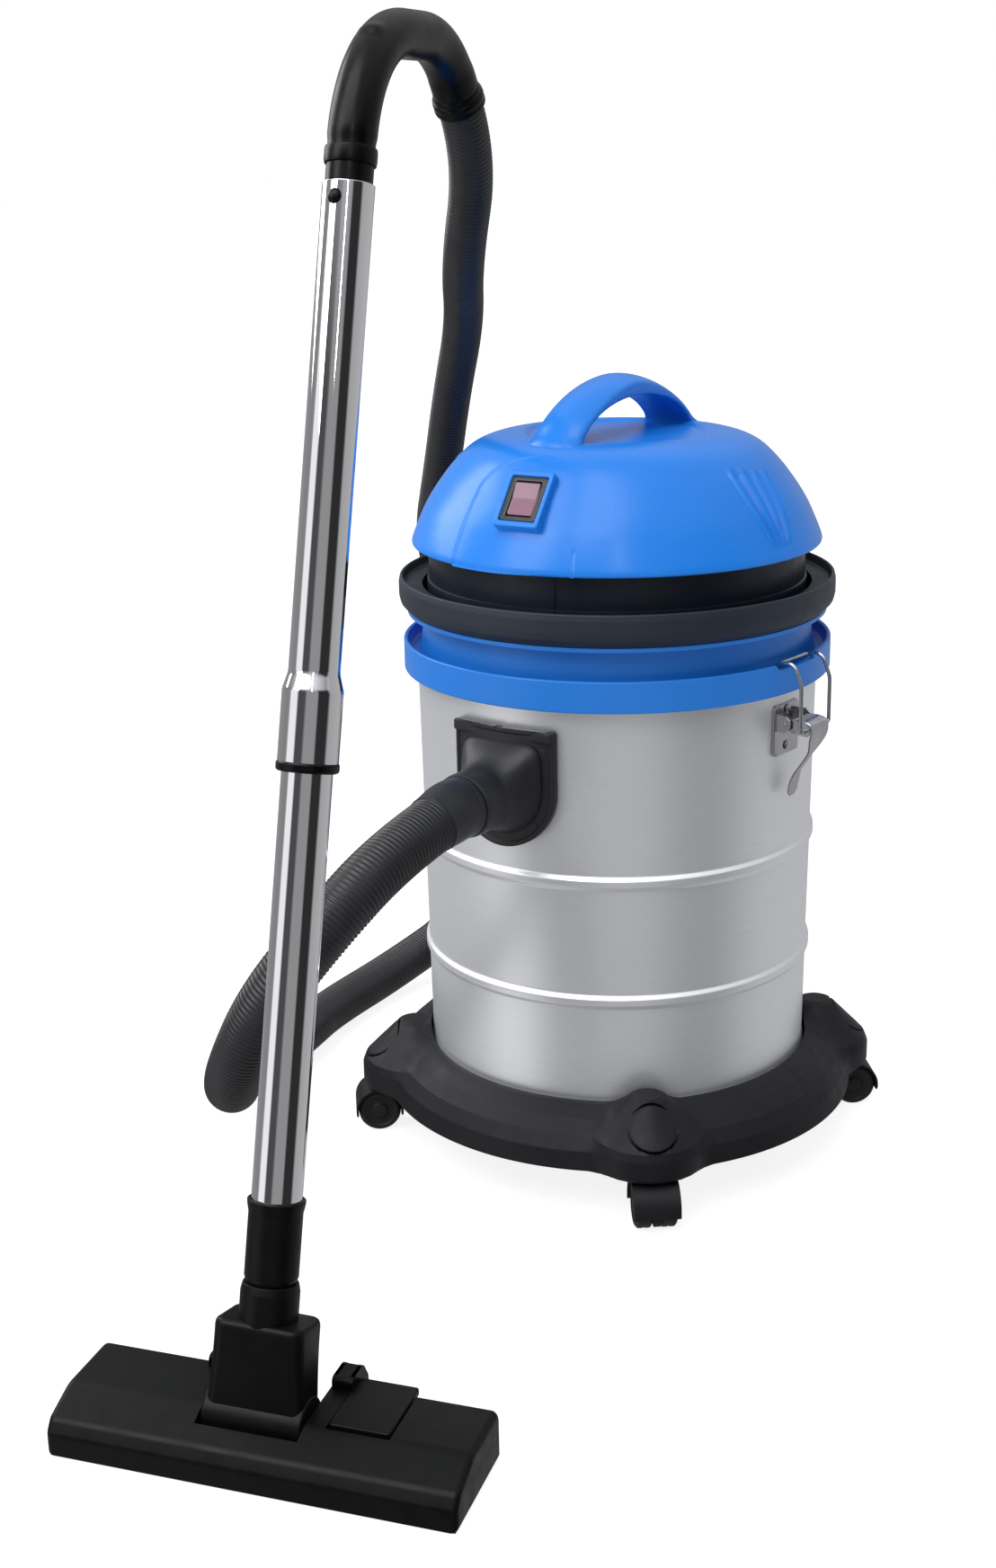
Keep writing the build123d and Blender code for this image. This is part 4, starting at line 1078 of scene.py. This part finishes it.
def make_flange():
    profile = list(rounded([(1.5, 0), (0, 0, 0.3), (0, 5.4, 1.4), (3.4, 5.4, 0.9), (4.6, 4.3, 0.9), (8, 4.3)],
                           closed=False))
    profile += [(inset, 4.3) for inset in (12, 17, 22, 27, 32, 37, 42, 46)]
    plate = on_drum(standing(stacked(flange_outline, profile)))
    ledge_profile = rounded([(3, 0), (0, 0), (0, 8.2, 1.6), (3, 8.2)], closed=False)
    ledge = stacked(lambda inset: oblong(47.7, 4.6, 2.2, inset, 8), ledge_profile)
    ledge = on_drum((np.column_stack([ledge[0][:, 0], ledge[0][:, 2], ledge[0][:, 1] + 404.2]), ledge[1]))
    pads = []
    for x in (-23.5, 23.5):
        pad = slab(20.5, 2.6, 1.2, 0, 1.2, 0.5)
        pad = np.column_stack([pad[0][:, 0] + x, pad[0][:, 1] + 4.4, pad[0][:, 2] + 408.5]), pad[1]
        pads.append(on_drum(pad))
    angles = np.linspace(0, 2 * pi, 72, endpoint=False)
    square = []
    for a in angles:
        c, s = cos(a), sin(a)
        if s < 0:
            square.append(35.5)
        else:
            square.append((1 / ((abs(c) / 36.5) ** 7 + (s / 40.0) ** 7)) ** (1 / 7))
    square = np.array(square)
    rings = []
    for distance, blend, grow in ((176.0, 0, 1.5), (178.6, 0.0, 0.6), (180.0, 0.03, 0), (186, 0.28, 0),
                                  (192, 0.58, 0), (198, 0.84, 0), (203, 0.97, 0), (206, 1, 0), (206.6, 1, 0),
                                  (228.6, 1, 0.0), (230.6, 1, -0.3), (231.7, 1, -0.9), (232, 1, -1.8),
                                  (232, 1, -3.4), (231.4, 1, -3.6), (205, 1, -3.6), (160, 1, -3.6),
                                  (152, 1, -3.6), (152, 1, -0.4), (154, 1, 0), (170, 1, 0)):
        reach = square * (1 - blend) + 26.3 * blend + grow
        rings.append(np.column_stack([reach * np.cos(angles), np.full(72, -distance),
                                      INLET_Z + reach * np.sin(angles)]))
    funnel = loft(rings, closed=True)
    plugs = []
    for x, z in ((-38, 391), (38, 391), (-30, 329), (30, 329)):
        face = sqrt(177.7 ** 2 - x ** 2)
        plugs.append(upright(lathe(rounded([(0, 0), (3.4, 0), (3.4, 0.9, 0.4), (0, 0.9)]), 32),
                             (x, -face + 0.3, z), (x / 178, -face / 178, 0)))
    piece("inlet_plate", joined(plate, ledge, funnel), BLACK, "machine",
          ["inlet_flange"], place=facing(INLET))
    # The ledge pads carry a painted highlight: the same black plastic made glossier and painted lighter.
    piece("inlet_pads", joined(*pads), PAD_GLOSS_AND_PAINTED_HIGHLIGHT, "machine", place=facing(INLET))
    piece("inlet_plugs", joined(*plugs), BLACK, "machine", ["inlet_screws"],
          place=facing(INLET))


def make_inlet_cuff():
    dip = radians(10)
    bend = np.array((0, -246.4, INLET_Z))
    end = bend + 26 * np.array((0, -cos(dip), -sin(dip)))
    line = round_path([(0, -206, INLET_Z, 0), (*bend, 60), (*end, 0)], 0.8)
    run = run_of(line)
    total = run[-1]
    radius = (22.4 + 2.6 * ease(run, 26.2, 27.4) - 1.6 * ease(run, total - 24, total - 1.0)
              - 0.35 * np.exp(-((run - 33) / 0.9) ** 2))
    radius = np.where(run > total - 1.0, radius - 1.2, radius)
    piece("inlet_boot", swept(line, radius, 72, side=(1, 0, 0)), BLACK, "machine",
          ["inlet_cuff"], place=facing(INLET))


make_flange()
make_inlet_cuff()


# ---------------------------------------------------------------- latches
def strip(line, widths, thick):
    """A bent sheet-metal strip: its line in (radius, height), its half width and thickness at each point."""
    line = np.array(line, float)
    slope = np.gradient(line, axis=0)
    slope /= np.linalg.norm(slope, axis=1)[:, None]
    out = np.column_stack([slope[:, 1], -slope[:, 0]])
    rings = []
    for (r, z), (nr, nz), half in zip(line, out, widths):
        half_t = thick / 2
        edge = [(-half, 0), (-half + half_t, half_t), (half - half_t, half_t), (half, 0),
                (half - half_t, -half_t), (-half + half_t, -half_t)]
        rings.append(np.array([(x, -(r + nr * d), z + nz * d) for x, d in edge]))
    return loft(rings)


def make_latches():
    for side, azimuth in LATCHES.items():
        place = facing(azimuth)
        line = smooth_line([(188.5, 404.6), (197, 404.6), (202.6, 402), (203.4, 394), (198.6, 381), (191, 368.5),
                            (184.4, 358.5), (180.8, 349), (179.2, 341), (178.6, 337)], 1.0)
        z = line[:, 1]
        widths = (13.6 - 9.6 * ease(-z, -392, -372) + 3.4 * ease(-z, -362, -350)
                  - 3.6 * ease(-z, -342, -337.4) ** 2)
        lever = strip(line, widths, 1.4)
        cheeks = []
        for x in (-13.1, 13.1):
            flat = rounded([(-177.6, 404.6, 3), (-177.6, 397.8, 3), (-186, 394, 5), (-202, 392.6, 3),
                            (-203.2, 403.6, 3), (-189, 405, 4)], beside=0.3)
            cheeks.append(loft([np.column_stack([np.full(len(flat), x + dx), flat]) for dx in (-0.9, 0.9)]))
        piece(f"lever_spoon_{side}", joined(lever, *cheeks), STEEL, f"lever_{side}",
              [f"latch_lever_{side}"], place=place)
        half_loop = [(11.7, 199, 398, 0), (22, 199, 398, 3), (22, 199, 436, 16), (22, 191, 455.5, 9),
                     (22, 176.3, 452.2, 3)]
        loop = [(x, -r, z, c) for x, r, z, c in half_loop] + [(-x, -r, z, c) for x, r, z, c in half_loop[::-1]]
        line = round_path(loop, 1.0)
        piece(f"wire_loop_{side}", swept(line, 1.6, 20), STEEL, f"bail_{side}",
              [f"latch_bail_{side}"], place=place)


def make_brackets():
    shapes = []
    turns = [Matrix.Rotation(radians(azimuth), 4, "Z") for azimuth in LATCHES.values()]
    for turn in turns:
        flat = slab(19, 21.5, 4, 0, 1.9, 0.5)
        plate = (np.column_stack([flat[0][:, 0], flat[0][:, 2], flat[0][:, 1] + 393.5]), flat[1])
        shapes.append(moved(on_drum(plate, 171.5), turn))
        for x in (-16, 16):
            ear = rounded([(-172.4, 394, 0.3), (-182, 394, 3.2), (-186, 398, 3.2), (-186, 404, 3),
                           (-181, 408, 3), (-172.4, 408, 0.3)], beside=0.3)
            shapes.append(moved(loft([np.column_stack([np.full(len(ear), x + dx), ear]) for dx in (-1, 1)]),
                                turn))
    piece("bracket_plates", joined(*shapes), STEEL, "machine", ["latch_brackets"])
    shapes = []
    for turn in turns:
        for z in (379, 410):
            dome = lathe(rounded([(0, 0), (4, 0, 0.3), (3.6, 1.0, 0.8), (1.8, 1.7, 1.5), (0, 1.8)]), 32)
            shapes.append(moved(upright(dome, (0, -173.2, z), (0, -1, 0)), turn))
    piece("rivet_heads", joined(*shapes), STEEL, "machine", ["latch_rivets"])
    shapes = []
    for turn in turns:
        pin = lathe(rounded([(0, -17.6), (1.7, -17.6, 0.4), (1.7, 17.6, 0.4), (0, 17.6)]), 32)
        shapes.append(moved(upright(pin, (0, -181, 401), (1, 0, 0)), turn))
    piece("hinge_pins", joined(*shapes), STEEL, "machine", ["latch_pins"])


make_latches()
make_brackets()


# ---------------------------------------------------------------- dolly
def soft_min(a, b, k):
    """The lesser of two distances, blended where they meet."""
    h = np.clip(0.5 + 0.5 * (b - a) / k, 0, 1)
    return b * (1 - h) + a * h - k * h * (1 - h)


SKIRT = np.array([(160, 88), (174, 87.2), (179, 84.6), (187, 79.2), (197.5, 69.5), (205, 58.5), (209.3, 44.8),
                  (160, 44.8)], float)


def polygon_distance(r, z, corners):
    """Signed distance from points to a closed outline, negative inside."""
    best = np.full(r.shape, 1e9)
    inside = np.zeros(r.shape, bool)
    for (x0, y0), (x1, y1) in zip(corners, np.roll(corners, -1, 0)):
        ex, ey = x1 - x0, y1 - y0
        wx, wy = r - x0, z - y0
        t = np.clip((wx * ex + wy * ey) / (ex * ex + ey * ey), 0, 1)
        best = np.minimum(best, (wx - ex * t) ** 2 + (wy - ey * t) ** 2)
        crosses = ((y0 > z) != (y1 > z)) & (r < (x1 - x0) * (z - y0) / (y1 - y0 + 1e-12) + x0)
        inside ^= crosses
    return np.where(inside, -1, 1) * np.sqrt(best)


POD = np.array([(0, 42.4), (46.5, 42.4), (48.3, 46), (48.3, 61), (45.6, 68), (15.5, 99), (11, 101), (0, 101)],
               float)


def dolly_field(r, azimuth, z, recess=True):
    """Signed distance to the dolly's outside, in millimetres."""
    field = polygon_distance(r, z, SKIRT) - 1.2
    nearest = (azimuth - LOBES[0] + 45) % 90 - 45
    a = np.radians(nearest)
    x, y = r * np.sin(a), r * np.cos(a)
    pod = polygon_distance(np.hypot(x, y - 183.5), z, POD) - 0.4
    field = soft_min(field, pod, 9.0)
    if recess:
        off, along = cap_place(x, y, z)
        pocket = np.maximum(np.abs(off - 20.4) - 0.75, -along - 3)
        field = np.maximum(field, -pocket)
    return field


def cap_place(x, y, z):
    """Distance from the cap's axis, and height along it, for a point of the lobe at the front."""
    tilt = radians(49)
    dy, dz = y - 212, z - 83
    along = dy * sin(tilt) + dz * cos(tilt)
    across = dy * cos(tilt) - dz * sin(tilt)
    return np.hypot(x, across), along


def surface_hit(start_r, azimuth, start_z, direction_r, direction_z, recess):
    """Where rays from inside leave the dolly's outside."""
    low, high = np.zeros_like(start_r), np.full_like(start_r, 110.0)
    for _ in range(26):
        half = (low + high) / 2
        inside = dolly_field(start_r + direction_r * half, azimuth, start_z + direction_z * half, recess) < 0
        low, high = np.where(inside, half, low), np.where(inside, high, half)
    return (low + high) / 2


def make_dolly():
    azimuths = []
    for lobe in LOBES:
        azimuths += list(lobe + np.concatenate([np.linspace(-45, -14, 40, endpoint=False),
                                                np.linspace(-14, -7.5, 28, endpoint=False),
                                                np.linspace(-7.5, 7.5, 160, endpoint=False),
                                                np.linspace(7.5, 14, 28, endpoint=False),
                                                np.linspace(14, 45, 40, endpoint=False)]))
    azimuths = np.array(azimuths)
    turns = np.concatenate([np.linspace(-6, 20, 16, endpoint=False), np.linspace(20, 78, 130, endpoint=False),
                            np.linspace(78, 150, 60)])
    a, t = np.meshgrid(azimuths, np.radians(turns), indexing="ij")
    start_r, start_z = np.full_like(a, 173.0), np.full_like(a, 55.0)
    reach = surface_hit(start_r, a, start_z, np.sin(t), np.cos(t), True)
    r, z = start_r + np.sin(t) * reach, start_z + np.cos(t) * reach
    r = np.maximum(r, 169.9)
    z = np.maximum(z, 43.2)
    outer = np.stack([r * np.sin(np.radians(a)), -r * np.cos(np.radians(a)), z], -1)
    rows, count = len(azimuths), len(turns)
    lobe_near = np.abs((azimuths - LOBES[0] + 45) % 90 - 45)
    edge_r = r[:, -1]
    inner = []
    for drop_r, level in ((3.0, 45.0), (3.6, 56.0), (9.0, 61.8), (60, 62.0)):
        ring_r = np.maximum(edge_r * 0 + (205.5 if drop_r < 5 else 203.0) - (drop_r if drop_r > 5 else drop_r),
                            100)
        inner.append(ring_r)
    under = [(edge_r - 2.5, z[:, -1] - 0.0), (np.full(rows, 203.0), np.full(rows, 44.5)),
             (np.full(rows, 199.0), np.full(rows, 56.5)), (np.full(rows, 190.0), np.full(rows, 61.6)),
             (np.full(rows, 100.6), np.full(rows, 62.0)), (np.full(rows, 100.0), np.full(rows, 62.6)),
             (np.full(rows, 100.0), np.full(rows, 66.9)), (np.full(rows, 100.6), np.full(rows, 67.5)),
             (np.full(rows, 168.6), np.full(rows, 67.5)), (np.full(rows, 169.8), np.full(rows, 68.7))]
    rings = [np.column_stack([ur * np.sin(np.radians(azimuths)), -ur * np.cos(np.radians(azimuths)), uz])
             for ur, uz in under]
    points = np.concatenate([outer, np.stack(rings, 1)], 1).reshape(-1, 3)
    skin = points, quads(rows, count + len(under), True, True)
    pods = []
    for lobe in LOBES:
        turn = Matrix.Rotation(radians(lobe), 4, "Z")
        pod = lathe(rounded([(4.1, 42.6, 0.4), (44.5, 42.6, 1.5), (44.5, 60), (4.1, 60)]), 72)
        pods.append(moved(pod, turn @ Matrix.Translation((0, -183, 0))))
    piece("dolly_ring", joined(skin, *pods), DOLLY_BLACK, "machine", ["dolly"], crease=50)


def make_caps():
    caps = []
    tilt = radians(49)
    radii = np.array([0.0, 4, 8, 12, 15, 17, 18.3, 19.1, 19.55, 19.6])
    sink = np.array([0, 0, 0, 0, 0, 0, 0.02, 0.15, 0.5, 2.6])
    around = 96
    turn = np.linspace(0, 2 * pi, around, endpoint=False)
    rr, tt = np.meshgrid(radii, turn, indexing="ij")
    x, across = rr * np.cos(tt), rr * np.sin(tt)
    low, high = np.full_like(x, -14.0), np.full_like(x, 22.0)
    for _ in range(26):
        half = (low + high) / 2
        y, z = 212 + across * cos(tilt) + half * sin(tilt), 83 - across * sin(tilt) + half * cos(tilt)
        r, azimuth = np.hypot(x, y), LOBES[0] + np.degrees(np.arctan2(x, y))
        inside = dolly_field(r, azimuth, z, False) < 0
        low, high = np.where(inside, half, low), np.where(inside, high, half)
    along = low - sink[:, None] + 0.15
    y, z = 212 + across * cos(tilt) + along * sin(tilt), 83 - across * sin(tilt) + along * cos(tilt)
    top = np.stack([x, -y, z], -1)
    bottom_along = along[-1] - 0.2
    rings = [top[k] for k in range(len(radii))]
    y = 212 + 0 * across[-1] + bottom_along * sin(tilt)
    z = 83 + bottom_along * cos(tilt)
    rings.append(np.column_stack([0 * x[-1], -y, z]))
    for lobe in LOBES:
        caps.append(moved(loft(rings), Matrix.Rotation(radians(lobe), 4, "Z")))
    piece("lobe_discs", joined(*caps), DOLLY_BLACK, "machine", ["lobe_caps"], crease=50)


make_dolly()
make_caps()


# ---------------------------------------------------------------- casters
def make_casters():
    for number, lobe in enumerate(LOBES, start=1):
        softened(f"caster_fork_{number}", [f"caster_hood_{number}"], DOLLY_BLACK, f"caster_{number}",
                 1.0, 3, 40)
        half = rounded([(0, 3.7), (7, 3.7), (17.6, 3.9, 1), (19, 5.2, 1.4), (19, 9.4, 0.5), (18.6, 9.8, 0.3),
                        (18.6, 11.0, 0.3), (19, 11.4, 0.5), (19, 15.4, 2.2), (16.2, 17.5, 1.6), (14.6, 17.5, 0.6),
                        (13.2, 16.4, 0.8), (7.5, 15.4, 1.2), (6.4, 17.4, 0.6), (0, 18.2)])
        wheel = upright(lathe(half, 96), (0, -219, 19), (1, 0, 0))
        other = moved(wheel, Matrix.Translation((0, -219, 0)) @ Matrix.Rotation(pi, 4, "Z")
                      @ Matrix.Translation((0, 219, 0)))
        axle = upright(lathe(rounded([(0, -3.8), (2, -3.8), (2, 3.8), (0, 3.8)]), 32), (0, -219, 19), (1, 0, 0))
        piece(f"caster_pair_{number}", joined(wheel, other, axle), TREAD, f"wheels_{number}",
              [f"caster_wheels_{number}", f"caster_axle_{number}"], place=facing(lobe))


make_casters()


# ---------------------------------------------------------------- finishes of the CAD nodes left showing
FINISH = {
    "steel_drum": DRUM_STEEL, "black_plastic": BLACK, "blue_plastic": BLUE, "neck_plastic": NECK_DARK,
    "bumper_plastic": BUMPER_DARK, "hose_plastic": HOSE_BLACK, "handle_plastic": HANDLE_BLACK,
    "chrome": CHROME, "steel": STEEL, "red_lens": RED_LENS, "seal_rubber": SEAL, "bristle": BRISTLE,
    "filter_cloth": CLOTH, "inner_plastic": INNER, "motor_metal": MOTOR_METAL}
for entry in frame["record"]["subparts"]:
    shown = frame["nodes"][entry["node"]]
    shown.data.materials.clear()
    shown.data.materials.append(FINISH[entry["material_slot"]])
